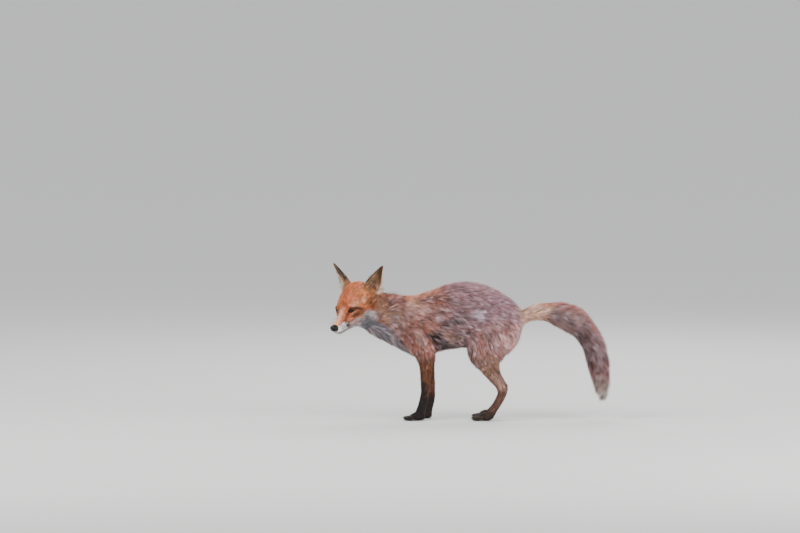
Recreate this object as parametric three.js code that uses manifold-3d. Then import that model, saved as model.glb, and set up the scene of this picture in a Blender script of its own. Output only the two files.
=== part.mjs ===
// A life-size red fox, squatting with an arched back, its head turned and lowered to its left,
// and its brush curving down behind. Millimetres, +Z up, the nose towards -X, the left side towards -Y.
//
// Each form is a loft: rings that run along a limb, a trunk or a tail, each ring an oval between
// two points of the side outline. The forms are joined, and thin cuts part them into named pieces.

import * as THREE from "three";
import { mergeVertices } from "three/addons/utils/BufferGeometryUtils.js";
import Module from "manifold-3d";

const wasm = await Module();
wasm.setup();

// ---- Driving dimensions --------------------------------------------------------------------

const GAP = 0.35; // width of the thin cuts between pieces
const FLOOR = 0; // the paws' flats
const HEAD_AT = [-376, -62, 328]; // the point midway between the eyes
const HEAD_TURN = 50; // degrees, the nose turned towards the left side
const HEAD_BOW = 29; // degrees, the nose lowered
const EYE_RADIUS = 9.2;
const EYE_APART = 48; // between the centres of the two eyeballs
const EAR_HEIGHT = 95;
const FORELEG_STEP = 22; // how far the right forepaw stands behind the left one
const HIND_STEP = 3; // how far the right hind paw stands behind the left one

// ---- Materials -----------------------------------------------------------------------------

const finish = (color, roughness) => new THREE.MeshStandardMaterial({ color, roughness, metalness: 0 });
const RED_COAT = finish(0x9c5a34, 0.85);
const BACK_COAT = finish(0x7d6257, 0.85);
const PALE_COAT = finish(0xb9b1a8, 0.85);
const LEG_COAT = finish(0x6b3421, 0.8);
const EAR_COAT = finish(0x8a6a52, 0.85);
const NOSE_SKIN = finish(0x17151a, 0.4);
const EYE_BALL = finish(0x2a1608, 0.1);

// ---- Curves and lofts ----------------------------------------------------------------------

// The rows of a table read as smooth curves: row number t, which need not be whole.
function between(rows, t) {
  const last = rows.length - 1;
  const i = Math.min(Math.floor(t), last - 1);
  const u = t - i;
  const [a, b, c, d] = [i - 1, i, i + 1, i + 2].map((n) => rows[Math.max(0, Math.min(last, n))]);
  return b.map((_, k) => {
    const bend = 2 * a[k] - 5 * b[k] + 4 * c[k] - d[k];
    const lean = 3 * (b[k] - c[k]) + d[k] - a[k];
    return b[k] + 0.5 * u * (c[k] - a[k] + u * (bend + u * lean));
  });
}

// A closed skin of rings, each a list of points, with a point at each end.
function skinOf(rings) {
  const sides = rings[0].length;
  const middle = (ring) => ring.reduce((sum, p) => sum.add(p), new THREE.Vector3()).divideScalar(sides);
  const points = [middle(rings[0]), ...rings.flat(), middle(rings.at(-1))];
  const faces = [];
  for (let j = 0; j < sides; j++) {
    const k = (j + 1) % sides;
    faces.push(0, 1 + k, 1 + j);
    for (let i = 0; i < rings.length - 1; i++) {
      const [near, far] = [1 + i * sides, 1 + (i + 1) * sides];
      faces.push(near + j, near + k, far + j, near + k, far + k, far + j);
    }
    const end = 1 + (rings.length - 1) * sides;
    faces.push(end + j, end + k, points.length - 1);
  }
  return new THREE.BufferGeometry().setFromPoints(points).setIndex(faces);
}

// A point of an oval ring at angle a: half width across, half heights above and below, in the
// ring's own plane. full over 2 squares the oval, and narrow pulls its upper half in.
function oval(centre, across, above, below, a, full = 2, narrow = 0) {
  const power = 2 / full;
  const [c, s] = [Math.cos(a), Math.sin(a)];
  const wide = Math.sign(c) * Math.abs(c) ** power * (1 - narrow * s);
  const high = Math.abs(s) ** power;
  return centre.clone().addScaledVector(across, wide).addScaledVector(s > 0 ? above : below, high);
}

// A loft between the two sides of a side view. Each row is
// [x and z of the upper or rear edge, x and z of the lower or front edge, half width, y of the middle].
function outlineLoft(rows, { rings, sides, full = 2, narrow = 0, turn = () => 0, grow = 0 }) {
  const made = [];
  for (let i = 0; i < rings; i++) {
    const t = (i / (rings - 1)) * (rows.length - 1);
    const [topX, topZ, lowX, lowZ, half, y] = between(rows, t);
    const top = new THREE.Vector3(topX, y, topZ);
    const low = new THREE.Vector3(lowX, y, lowZ);
    const centre = top.clone().add(low).divideScalar(2);
    const above = top.clone().sub(centre);
    above.setLength(above.length() + grow);
    const angle = THREE.MathUtils.degToRad(turn(t / (rows.length - 1)));
    const across = new THREE.Vector3(-Math.sin(angle), Math.cos(angle), 0).multiplyScalar(half + grow);
    const below = above.clone().negate();
    made.push(
      Array.from({ length: sides }, (_, j) =>
        oval(centre, across, above, below, (j / sides) * 2 * Math.PI, full, narrow),
      ),
    );
  }
  return skinOf(made);
}

// A loft along a line in space. Each row is [x, y, z, half width, half depth behind, half depth in front].
function spineLoft(rows, { rings, sides, across = [0, 1, 0], grow = 0 }) {
  const last = rows.length - 1;
  const at = (t) => new THREE.Vector3(...between(rows, Math.max(0, Math.min(last, t))).slice(0, 3));
  const made = [];
  for (let i = 0; i < rings; i++) {
    const t = (i / (rings - 1)) * last;
    const [, , , half, behind, ahead] = between(rows, t);
    const along = at(t + 0.1).sub(at(t - 0.1)).normalize();
    const side = new THREE.Vector3(...across);
    side.addScaledVector(along, -side.dot(along)).normalize();
    const rear = along.clone().cross(side);
    const above = rear.clone().setLength(behind + grow);
    const below = rear.clone().setLength(ahead + grow).negate();
    side.multiplyScalar(half + grow);
    made.push(
      Array.from({ length: sides }, (_, j) =>
        oval(at(t), side, above, below, (j / sides) * 2 * Math.PI),
      ),
    );
  }
  return skinOf(made);
}

// ---- Solids --------------------------------------------------------------------------------

function solid(geometry, matrix = new THREE.Matrix4()) {
  const bare = geometry.index ? geometry.toNonIndexed() : geometry.clone();
  const placed = new THREE.BufferGeometry().setAttribute("position", bare.getAttribute("position"));
  const merged = mergeVertices(placed.applyMatrix4(matrix), 1e-3);
  const triVerts = new Uint32Array(merged.index.array);
  const made = new wasm.Manifold(
    new wasm.Mesh({ numProp: 3, vertProperties: merged.attributes.position.array, triVerts }),
  );
  if (made.volume() > 0) return made;
  for (let i = 0; i < triVerts.length; i += 3) {
    [triVerts[i + 1], triVerts[i + 2]] = [triVerts[i + 2], triVerts[i + 1]];
  }
  return new wasm.Manifold(
    new wasm.Mesh({ numProp: 3, vertProperties: merged.attributes.position.array, triVerts }),
  );
}

function meshOf(made, name, material) {
  const { vertProperties, triVerts } = made.getMesh();
  const geometry = new THREE.BufferGeometry()
    .setAttribute("position", new THREE.BufferAttribute(new Float32Array(vertProperties), 3))
    .setIndex(new THREE.BufferAttribute(new Uint32Array(triVerts), 1));
  geometry.computeVertexNormals();
  const mesh = new THREE.Mesh(geometry, material);
  mesh.name = name;
  return mesh;
}

const join = (solids) => solids.reduce((a, b) => a.add(b));

// A matrix that places a thing at a point, turned by degrees about X, Y and Z, scaled along its own axes.
function placed(at, [rx, ry, rz] = [0, 0, 0], scale = [1, 1, 1]) {
  const turn = new THREE.Euler(...[rx, ry, rz].map(THREE.MathUtils.degToRad), "ZYX");
  return new THREE.Matrix4().compose(
    new THREE.Vector3(...at),
    new THREE.Quaternion().setFromEuler(turn),
    new THREE.Vector3(...scale),
  );
}

const ball = (at, radii, turn, detail = [10, 6]) =>
  solid(new THREE.SphereGeometry(1, ...detail), placed(at, turn, radii));

// The half space on one side of a plane through a point, as a large block.
const REACH = 2000;
function beyond(point, direction, shift = 0) {
  const along = new THREE.Vector3(...direction).normalize();
  const centre = new THREE.Vector3(...point).addScaledVector(along, REACH / 2 + shift);
  const turn = new THREE.Quaternion().setFromUnitVectors(new THREE.Vector3(1, 0, 0), along);
  const matrix = new THREE.Matrix4().compose(centre, turn, new THREE.Vector3(1, 1, 1));
  return solid(new THREE.BoxGeometry(REACH, REACH, REACH), matrix);
}

// Parts a solid by planes, each [point, direction], into one more length than there are planes.
function lengthsOf(whole, planes) {
  const made = [];
  let rest = whole;
  for (const [point, direction] of planes) {
    made.push(rest.subtract(beyond(point, direction, -GAP / 2)));
    rest = rest.intersect(beyond(point, direction, GAP / 2));
  }
  return [...made, rest];
}

// ---- Neck, trunk and tail ------------------------------------------------------------------

// From the rump to the back of the head.
const BODY_ROWS = [
  [157, 316, 156, 272, 16, 0],
  [151, 334, 147, 246, 37, 0],
  [134, 356, 118, 230, 50, 0],
  [105, 378, 84, 219, 57, 0],
  [73, 397, 50, 214, 59, 0],
  [38, 410, 18, 213, 60, 0],
  [0, 418, -18, 214, 60, 0],
  [-38, 418, -50, 212, 61, 0],
  [-76, 409, -84, 206, 62, 0],
  [-110, 395, -118, 196, 61, 0],
  [-143, 381, -152, 180, 57, 0],
  [-176, 377, -194, 200, 52, -1],
  [-207, 378, -238, 224, 48, -5],
  [-236, 381, -282, 247, 46, -13],
  [-264, 388, -322, 270, 43, -24],
  [-296, 394, -350, 296, 36, -36],
];
const neckTurn = (t) => 30 * THREE.MathUtils.smoothstep(t, 0.7, 1);
const body = (grow = 0) =>
  solid(
    outlineLoft(BODY_ROWS, { rings: 20, sides: 18, full: 2.15, narrow: 0.1, turn: neckTurn, grow }),
  );

const TAIL_ROWS = [
  [138, 322, 142, 284, 16, 0],
  [174, 342, 172, 293, 22, 0],
  [206, 350, 200, 297, 26, 0],
  [240, 355, 224, 293, 31, 0],
  [276, 355, 248, 281, 36, 0],
  [312, 346, 277, 266, 38, 0],
  [344, 324, 303, 254, 38, 0],
  [370, 293, 321, 238, 36, 0],
  [391, 257, 335, 219, 34, 0],
  [404, 220, 344, 199, 32, 0],
  [412, 184, 351, 174, 30, 0],
  [417, 150, 359, 148, 28, 0],
  [418, 119, 368, 120, 24, 0],
  [414, 94, 379, 96, 17, 0],
  [405, 78, 391, 79, 7, 0],
];
const tail = () => solid(outlineLoft(TAIL_ROWS, { rings: 18, sides: 11 }));

// ---- Legs ----------------------------------------------------------------------------------

// side is -1 for the left leg and 1 for the right one. step moves the foot, and less of the leg above it.
// Both legs' rows are the left leg's: x and z of the rear edge, x and z of the front edge, half width,
// and the distance from the middle plane. step moves the foot, and less of the leg above it.
const forelegRows = legRows([
  [-118, 356, -158, 350, 6, 30],
  [-100, 330, -180, 312, 13, 39],
  [-95, 296, -192, 274, 18, 45],
  [-97, 260, -194, 236, 20, 48],
  [-100, 228, -181, 208, 20, 47],
  [-102, 202, -163, 186, 18, 44],
  [-106, 182, -155, 168, 16, 42],
  [-111, 158, -152, 148, 15, 40],
  [-115, 133, -151, 127, 13.5, 39],
  [-119, 108, -149, 104, 12, 38],
  [-123, 84, -149, 80, 12, 38],
  [-126, 58, -154, 54, 13, 38],
  [-132, 34, -163, 30, 15, 38],
  [-136, 14, -168, 12, 14, 38],
]);

const hindRows = legRows([
  [116, 346, 74, 352, 6, 30],
  [136, 324, 38, 328, 12, 36],
  [149, 300, 8, 298, 20, 42],
  [154, 274, -9, 268, 25, 47],
  [152, 251, -15, 240, 27, 50],
  [139, 230, -16, 215, 27, 51],
  [117, 212, -11, 193, 25, 52],
  [97, 195, 3, 175, 21, 53],
  [89, 176, 22, 156, 17.5, 54],
  [88, 154, 42, 136, 15, 53],
  [94, 131, 58, 118, 13.5, 52],
  [105, 112, 73, 103, 12.5, 51],
  [114, 97, 83, 88, 12, 50],
  [110, 77, 79, 71, 12, 50],
  [98, 54, 69, 50, 12.5, 50],
  [85, 34, 56, 32, 14, 50],
  [76, 18, 44, 20, 16, 50],
  [70, 8, 40, 10, 14, 50],
]);

function legRows(rows) {
  return (side, step) =>
    rows.map(([rearX, rearZ, frontX, frontZ, half, y]) => {
      const moved = step * THREE.MathUtils.smoothstep(200 - frontZ, 0, 150);
      return [rearX + moved, rearZ, frontX + moved, frontZ, half, side * y];
    });
}

// Four toes round a pad, each with its claw. at is the pad's middle on the floor.
function paw([x, y], wide, long) {
  const made = [ball([x, y, 12], [long * 0.52, wide * 0.46, 15], [0, 0, 0], [9, 5])];
  for (const place of [-1.5, -0.5, 0.5, 1.5]) {
    const inner = Math.abs(place) < 1;
    const splay = place * 6;
    const reach = inner ? long * 0.64 : long * 0.47;
    const toe = [x - reach, y + place * wide * 0.24, 8];
    made.push(ball(toe, [long * 0.31, wide * 0.165, 9], [0, -8, -splay], [6, 4]));
    const tip = [toe[0] - long * 0.2, toe[1] + place * 0.8, 8.5];
    made.push(claw(tip, splay));
  }
  return join(made);
}

// A short hooked cone, its root inside the toe.
function claw([x, y, z], splay) {
  const rows = [
    [3, 0, 0.5, 2, 2.3, 2.3],
    [-4, 0, 0.8, 1.7, 2, 2],
    [-9, 0, -1.6, 1.1, 1.3, 1.3],
    [-12.5, 0, -5, 0.4, 0.4, 0.4],
  ];
  return solid(spineLoft(rows, { rings: 3, sides: 4 }), placed([x, y, z], [0, 0, -splay]));
}

function foreleg(side, step) {
  const leg = solid(outlineLoft(forelegRows(side, step), { rings: 17, sides: 9 }));
  const foot = paw([-157 + step, side * 38], 44, 46);
  return leg.add(foot).intersect(beyond([0, 0, FLOOR], [0, 0, 1]));
}

function hindLeg(side, step) {
  const leg = solid(outlineLoft(hindRows(side, step), { rings: 20, sides: 11 }));
  const foot = paw([48 + step, side * 50], 40, 46);
  return leg.add(foot).intersect(beyond([0, 0, FLOOR], [0, 0, 1]));
}

// ---- Head, in its own frame: the eyes' midpoint is the origin, the nose points to -X --------

const headFrame = placed(HEAD_AT, [0, -HEAD_BOW, HEAD_TURN]);

// From the nose to the nape: [x and z of the top, x and z of the underside, half width, 0].
const HEAD_ROWS = [
  [-68, -13, -63, -34, 8, 0],
  [-65, -8, -60, -41, 12.5, 0],
  [-57, -5, -51, -46, 15, 0],
  [-45, -3, -39, -49, 17, 0],
  [-32, 0, -26, -51, 20, 0],
  [-19, 5, -14, -53, 25, 0],
  [-8, 12, -3, -55, 32, 0],
  [4, 23, 8, -58, 41, 0],
  [18, 34, 20, -62, 50, 0],
  [35, 43, 35, -65, 57, 0],
  [54, 50, 52, -65, 60, 0],
  [74, 54, 70, -61, 60, 0],
  [93, 51, 88, -53, 56, 0],
  [108, 41, 103, -39, 47, 0],
  [119, 24, 115, -19, 30, 0],
];
const headForm = () =>
  solid(outlineLoft(HEAD_ROWS, { rings: 19, sides: 16, full: 2.1, narrow: 0.15 }), headFrame);

const inHead = (at, radii, turn) => ball(new THREE.Vector3(...at).applyMatrix4(headFrame), radii, turn);

const eyePlace = (side) => [5, (side * EYE_APART) / 2, 6];
const NOSE_AT = [-65, 0, -17];

// The ear stands on its root with its opening towards -X, and is hollow above the root. Each row is
// [x, y, z, half width, half depth of the back, half depth of the front].
function earForm(grow = 0) {
  const h = EAR_HEIGHT;
  const outer = [
    [0, 0, -20, 24, 19, 16],
    [0, 0, 0, 30, 21, 14],
    [0, 0, h * 0.18, 29, 19, 8],
    [0, 0, h * 0.4, 23.5, 16, 3.5],
    [0, 0, h * 0.62, 16.5, 11, 3],
    [0, 0, h * 0.82, 9.5, 7, 2.5],
    [0, 0, h * 0.95, 4.5, 4, 2],
    [0, 0, h, 1.2, 1.2, 1],
  ];
  const shell = spineLoft(outer, { rings: 8, sides: 9, across: [0, -1, 0], grow });
  const inner = [
    [-5, 0, h * 0.05, 7, 4, 6],
    [-3, 0, h * 0.13, 21, 13, 20],
    [0, 0, h * 0.4, 18.5, 10.5, 22],
    [0, 0, h * 0.62, 12, 5.5, 20],
    [0, 0, h * 0.82, 5.5, 2, 16],
    [0, 0, h * 0.93, 2, 0.8, 12],
  ];
  return { shell, hollow: spineLoft(inner, { rings: 7, sides: 9, across: [0, -1, 0] }) };
}

// Each ear's own root and tip: the left one stands a little higher than the right.
const EARS = [
  { side: -1, root: [90, -47, 20], tip: [124, -102, 99] },
  { side: 1, root: [90, 49, 20], tip: [124, 97, 81] },
];
const EAR_OPENS = 17; // degrees, each ear's opening turned outwards from straight ahead

// The cut across an ear's root: a point inside the head, and the way up the ear.
function earCut({ root, tip }) {
  const foot = new THREE.Vector3(...root);
  const up = new THREE.Vector3(...tip).sub(foot).normalize();
  const point = foot.addScaledVector(up, -8).applyMatrix4(headFrame);
  return [point.toArray(), up.transformDirection(headFrame).toArray()];
}

function earFrame({ side, root, tip }) {
  const foot = new THREE.Vector3(...root);
  const up = new THREE.Vector3(...tip).sub(foot).normalize();
  const angle = THREE.MathUtils.degToRad(EAR_OPENS);
  const back = new THREE.Vector3(Math.cos(angle), -side * Math.sin(angle), 0);
  back.addScaledVector(up, -back.dot(up)).normalize();
  const stand = new THREE.Matrix4().makeBasis(back, up.clone().cross(back), up).setPosition(foot);
  return headFrame.clone().multiply(stand);
}

// The lower jaw is what lies under the line of the lips.
function jawCutter(shift) {
  const outline = new THREE.Shape([
    new THREE.Vector2(-90, -31 - shift),
    new THREE.Vector2(-55, -30 - shift),
    new THREE.Vector2(-20, -26 - shift),
    new THREE.Vector2(-10 - shift, -30 - shift),
    new THREE.Vector2(8 - shift, -70),
    new THREE.Vector2(-90, -90),
  ]);
  const slab = new THREE.ExtrudeGeometry(outline, { depth: 160, bevelEnabled: false });
  return solid(slab, headFrame.clone().multiply(placed([0, 80, 0], [90, 0, 0])));
}

// ---- The fox -------------------------------------------------------------------------------

const fox = new THREE.Group();
const WORDS = ["left", "right"];

const noseSize = (grow) => [9.5 + grow, 11.5 + grow, 9.5 + grow];
const noseTurn = [0, 12 - HEAD_BOW, HEAD_TURN];
fox.add(meshOf(inHead(NOSE_AT, noseSize(0), noseTurn), "nose", NOSE_SKIN));
let flesh = body().add(headForm()).subtract(inHead(NOSE_AT, noseSize(GAP), noseTurn));
[-1, 1].forEach((side, i) => {
  const eye = (grow) => inHead(eyePlace(side), Array(3).fill(EYE_RADIUS + grow), [0, 0, HEAD_TURN]);
  fox.add(meshOf(eye(0), `eye_${WORDS[i]}`, EYE_BALL));
  flesh = flesh.subtract(eye(GAP));
});

// The ears sink into the head, which is cut away round their roots.
EARS.forEach((ear, i) => {
  const { shell, hollow } = earForm();
  const whole = solid(shell, earFrame(ear)).subtract(solid(hollow, earFrame(ear)));
  fox.add(meshOf(whole.intersect(beyond(...earCut(ear), GAP / 2)), `ear_${WORDS[i]}`, EAR_COAT));
  const pocket = solid(earForm(GAP).shell, earFrame(ear)).intersect(beyond(...earCut(ear), -GAP / 2));
  flesh = flesh.subtract(pocket);
});

// The head ends behind the ears and the corners of the jaw.
const NECK_CUT = [[-268, -10, 390], [0.64, 0.77, -0.45]];
const head = flesh.subtract(beyond(...NECK_CUT, -GAP / 2));
const trunk = flesh.intersect(beyond(...NECK_CUT, GAP / 2));
const [rump, loin, chest, neck] = lengthsOf(trunk, [
  [[50, 0, 300], [-1, 0, 0.12]],
  [[-70, 0, 300], [-1, 0, 0]],
  [[-190, 0, 300], [-1, 0, 0.35]],
]);
fox.add(
  meshOf(head.subtract(jawCutter(-GAP / 2)), "head", RED_COAT),
  meshOf(head.intersect(jawCutter(GAP / 2)), "lower_jaw", PALE_COAT),
  meshOf(rump, "rump", BACK_COAT),
  meshOf(loin, "loin_and_belly", BACK_COAT),
  meshOf(chest, "chest", RED_COAT),
  meshOf(neck, "neck", PALE_COAT),
);

const bodySpace = body(GAP);
for (const [side, word, foreStep, hindStep] of [
  [-1, "left", 0, 0],
  [1, "right", FORELEG_STEP, HIND_STEP],
]) {
  const [upper, forearm, forepaw] = lengthsOf(foreleg(side, foreStep).subtract(bodySpace), [
    [[0, 0, 186], [0, 0, -1]],
    [[0, 0, 76], [0, 0, -1]],
  ]);
  const [thigh, shank, foot, hindPaw] = lengthsOf(hindLeg(side, hindStep).subtract(bodySpace), [
    [[50 + hindStep, 0, 182], [0.3, 0, -1]],
    [[98 + hindStep, 0, 101], [0.4, 0, -1]],
    [[68 + hindStep, 0, 30], [-0.6, 0, -1]],
  ]);
  fox.add(
    meshOf(upper, `upper_foreleg_${word}`, RED_COAT),
    meshOf(forearm, `forearm_${word}`, LEG_COAT),
    meshOf(forepaw, `forepaw_${word}`, LEG_COAT),
    meshOf(thigh, `thigh_${word}`, BACK_COAT),
    meshOf(shank, `shank_${word}`, LEG_COAT),
    meshOf(foot, `hind_foot_${word}`, LEG_COAT),
    meshOf(hindPaw, `hind_paw_${word}`, LEG_COAT),
  );
}

const tailLengths = lengthsOf(tail().subtract(bodySpace), [
  [[225, 0, 315], [1, 0, 0]],
  [[318, 0, 280], [0.75, 0, -0.65]],
  [[378, 0, 195], [0.2, 0, -1]],
]);
["tail_root", "tail_arch", "tail_brush", "tail_tip"].forEach((name, i) => {
  fox.add(meshOf(tailLengths[i], name, i === 3 ? PALE_COAT : BACK_COAT));
});

// The origin is the middle of the model's outline, on the floor.
const middle = new THREE.Box3().setFromObject(fox, true).getCenter(new THREE.Vector3());
fox.position.set(-middle.x, -middle.y, 0);

export default fox;
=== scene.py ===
"""A life-size red fox for a museum floor: squatting with an arched back, the head turned to its left
and lowered, the brush curving down behind. One skin covers the whole body, and the coat lies over it
in tufts. Lengths are in metres, and in millimetres where a name or a comment says so."""

import math
from collections import namedtuple

import bpy
import numpy as np
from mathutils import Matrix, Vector, kdtree, noise
from mathutils.bvhtree import BVHTree


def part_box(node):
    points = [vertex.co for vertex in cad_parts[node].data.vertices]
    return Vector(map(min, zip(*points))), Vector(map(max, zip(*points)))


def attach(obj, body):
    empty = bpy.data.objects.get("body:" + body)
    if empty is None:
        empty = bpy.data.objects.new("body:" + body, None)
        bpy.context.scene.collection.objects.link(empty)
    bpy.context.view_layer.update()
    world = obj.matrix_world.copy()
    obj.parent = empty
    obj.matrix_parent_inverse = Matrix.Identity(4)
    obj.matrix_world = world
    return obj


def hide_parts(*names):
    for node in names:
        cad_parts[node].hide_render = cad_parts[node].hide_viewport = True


bl_info = {
    "name": "Red fox",
    "version": (1, 0, 0),
    "blender": (4, 5, 0),
    "location": "View3D > Sidebar > Fox",
    "description": "Builds a life-size red fox: skin, coat, eyes, nose, claws and whiskers",
    "category": "Object",
}

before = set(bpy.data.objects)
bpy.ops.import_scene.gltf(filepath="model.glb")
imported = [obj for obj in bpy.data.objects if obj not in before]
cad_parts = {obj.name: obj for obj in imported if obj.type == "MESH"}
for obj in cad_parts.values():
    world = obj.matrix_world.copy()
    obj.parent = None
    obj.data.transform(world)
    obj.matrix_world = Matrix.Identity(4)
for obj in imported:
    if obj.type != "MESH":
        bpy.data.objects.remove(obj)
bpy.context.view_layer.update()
MM = 0.001
SIDES = {"left": -1, "right": 1}  # the sign of y on each
FLESH = sorted(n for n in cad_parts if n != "nose" and not n.startswith("eye"))
SMALL = 1e-9  # keeps divisions from failing
BODY_MIDDLE = 15.6  # the y of the body's own middle plane, in mm
TAIL_END = (398.0, 15.6, 58.0)  # where the brush ends, in mm in the model


# ---- Places on the head -------------------------------------------------------------------
# The head has its own axes in millimetres: X to the nape, Y to the fox's right, Z up, from a
# point just below and ahead of the eyes' middle. All the places here are in them.

EYES_MIDDLE = (5.0, 0.0, 6.0)
EYE_OUT = 24.0
EYE_RADIUS = 9.2
EYE_TURN = 1.1  # half the width of the opening, in radians round the ball
NOSE_PAD = (-65.0, 0.0, -17.0)
NOSE_SIZE = (10.6, 12.4, 10.6)
EARS = {"left": ((90, -47, 20), (124, -102, 99)), "right": ((90, 49, 20), (124, 97, 81))}
EAR_HEIGHT = 95.0
EAR_OPENS = 17.0  # degrees that each ear's opening is turned outwards
EAR_HALF_WIDTHS = ((0, 30), (0.18, 29), (0.4, 23.5), (0.62, 16.5), (0.82, 9.5), (0.95, 4.5), (1, 1.5))
MOUTH = [(-66, 0, -35), (-59, 9, -36.5), (-46, 14, -38), (-30, 16, -38.5), (-16, 19, -37), (-6, 25, -34)]


def middle_of(node):
    low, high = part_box(node)
    return (low + high) / 2


def unit_way(way):
    """One direction, at length 1."""
    return np.asarray(way, float) / np.linalg.norm(way)


def head_axes():
    """The head's axes in the model, as rows, and its origin: laid through the eyes and the nose."""
    eyes = [middle_of("eye_left"), middle_of("eye_right")]
    rightwards = (eyes[1] - eyes[0]).normalized()
    between = (eyes[0] + eyes[1]) / 2
    back = between - middle_of("nose")
    back = (back - rightwards * back.dot(rightwards)).normalized()
    upright = back.cross(rightwards)
    slope = math.atan2(EYES_MIDDLE[2] - NOSE_PAD[2], EYES_MIDDLE[0] - NOSE_PAD[0])
    x = back * math.cos(slope) - upright * math.sin(slope)
    z = back * math.sin(slope) + upright * math.cos(slope)
    turn = np.array([x, rightwards, z])
    return turn, np.array(between) - (np.array(EYES_MIDDLE) * MM) @ turn


HEAD_TURN, HEAD_AT = head_axes()


def from_head(points):
    """Points in the head's millimetres, as places in the model."""
    return HEAD_AT + (np.asarray(points, float) * MM) @ HEAD_TURN


def to_head(points):
    """Places in the model, as points in the head's millimetres."""
    return (np.asarray(points) - HEAD_AT) @ HEAD_TURN.T / MM


def one_sided(points):
    """Points of both sides, all brought to the side where y is positive."""
    return points * (1, 0, 1) + np.abs(points) * (0, 1, 0)


def eye_axes(side):
    """An eye's middle, the way its lids face, the way to its outer corner and the way up."""
    faces = unit_way([-0.70, side * 0.70, 0.05])
    outer = np.array([0.70, side * 0.70, -0.20])
    outer = unit_way(outer - faces * (outer @ faces))
    up = np.cross(faces, outer) * -side
    return np.array([EYES_MIDDLE[0], side * EYE_OUT, EYES_MIDDLE[2]]), faces, outer, up


def ear_axes(word):
    """An ear's root on the head, the way up it, the way back through it and the way outwards."""
    side = SIDES[word]
    root, tip = (np.array(p, float) for p in EARS[word])
    up = unit_way(tip - root)
    angle = math.radians(EAR_OPENS)
    back = np.array([math.cos(angle), -side * math.sin(angle), 0])
    back = unit_way(back - up * (back @ up))
    return root, up, back, side * np.cross(up, back)


# ---- The coat by region -------------------------------------------------------------------
# For each length of the body: the depth its coat adds to the skin, the hairs' length and a
# tuft's width in mm, tufts to the square cm, how far the skin is smoothed, how grizzled the
# hairs are, the way they lie (in the head's own axes on the head and jaw) and the colour.

Coat = namedtuple("Coat", "depth length width crowd smoothing grizzle lie colour")
REGIONS = {
    "head": Coat(3.4, 9.0, 0.75, 120, 0.10, 0.05, (1, 0, 0.10), "cf7044"),
    "lower_jaw": Coat(3.0, 8.0, 0.75, 110, 0.08, 0.02, (1, 0, -0.15), "cfc6c6"),
    "ear": Coat(0.9, 6.0, 0.6, 165, 0.05, 0.05, (0, 0, 1), "a8764f"),
    "neck": Coat(11.0, 30.0, 1.0, 92, 0.8, 0.35, (1, 0.25, -0.45), "7e5443"),
    "chest": Coat(10.0, 27.0, 1.0, 68, 1.0, 0.4, (1, 0, -0.35), "8d5946"),
    "loin_and_belly": Coat(9.0, 26.0, 1.0, 66, 1.0, 0.5, (1, 0, -0.22), "825f60"),
    "rump": Coat(8.5, 24.0, 1.0, 70, 1.0, 0.5, (0.85, 0, -0.5), "86636a"),
    "tail_root": Coat(8.0, 24.0, 1.0, 80, 0.3, 0.35, (1, 0, 0.25), "e8c0b0"),
    "tail_arch": Coat(13.0, 36.0, 1.15, 100, 0.5, 0.45, (1, 0, -0.25), "8b6b66"),
    "tail_brush": Coat(14.0, 38.0, 1.15, 105, 0.5, 0.45, (0.55, 0, -0.85), "694844"),
    "tail_tip": Coat(12.0, 36.0, 1.15, 105, 0.3, 0.3, (0.1, 0, -1), "704b47"),
    "upper_foreleg": Coat(7.0, 19.0, 1.0, 84, 0.6, 0.35, (0.3, 0, -1), "8c5340"),
    "forearm": Coat(3.6, 11.0, 0.8, 100, 0.08, 0.08, (0.2, 0, -1), "693c23"),
    "forepaw": Coat(2.4, 6.5, 0.75, 110, 0.03, 0.03, (-0.35, 0, -0.9), "291e1b"),
    "thigh": Coat(7.5, 21.0, 1.0, 78, 0.8, 0.4, (0.35, 0, -1), "8b5a4e"),
    "shank": Coat(4.2, 13.0, 0.85, 85, 0.12, 0.12, (0.6, 0, -0.85), "8a6450"),
    "hind_foot": Coat(3.0, 9.0, 0.8, 95, 0.06, 0.06, (-0.5, 0, -0.9), "644232"),
    "hind_paw": Coat(2.4, 6.5, 0.75, 110, 0.03, 0.03, (-0.8, 0, -0.4), "382820"),
}
ON_HEAD = ("head", "lower_jaw")


def region_of(node):
    """A node's region is its name without its side."""
    return node.removesuffix("_left").removesuffix("_right")


# Coat pieces: the regions that they grow on, the slot of their finish and the most triangles,
# in thousands.
COAT_PIECES = {
    "coat_head": (ON_HEAD, "coat_red", 190),
    "coat_ears": (("ear",), "coat_ear", 90),
    "coat_neck": (("neck",), "coat_pale", 170),
    "coat_chest": (("chest",), "coat_red", 140),
    "coat_shoulders": (("upper_foreleg",), "coat_red", 60),
    "coat_loin": (("loin_and_belly",), "coat_back", 150),
    "coat_rump": (("rump", "tail_root"), "coat_back", 120),
    "coat_thighs": (("thigh",), "coat_back", 140),
    "coat_tail_arch": (("tail_arch",), "coat_back", 80),
    "coat_tail_brush": (("tail_brush", "tail_tip"), "coat_back", 120),
    "coat_forelegs": (("forearm", "forepaw"), "coat_legs", 120),
    "coat_hind_legs": (("shank", "hind_foot", "hind_paw"), "coat_legs", 130),
}


# ---- Colours ------------------------------------------------------------------------------


def linear(colour):
    """An sRGB hex colour as linear red, green and blue."""
    parts = np.array([int(colour[i : i + 2], 16) for i in (0, 2, 4)]) / 255
    return np.where(parts <= 0.04045, parts / 12.92, ((parts + 0.055) / 1.055) ** 2.4)


def rgba(colour):
    return (*linear(colour), 1.0)


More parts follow.
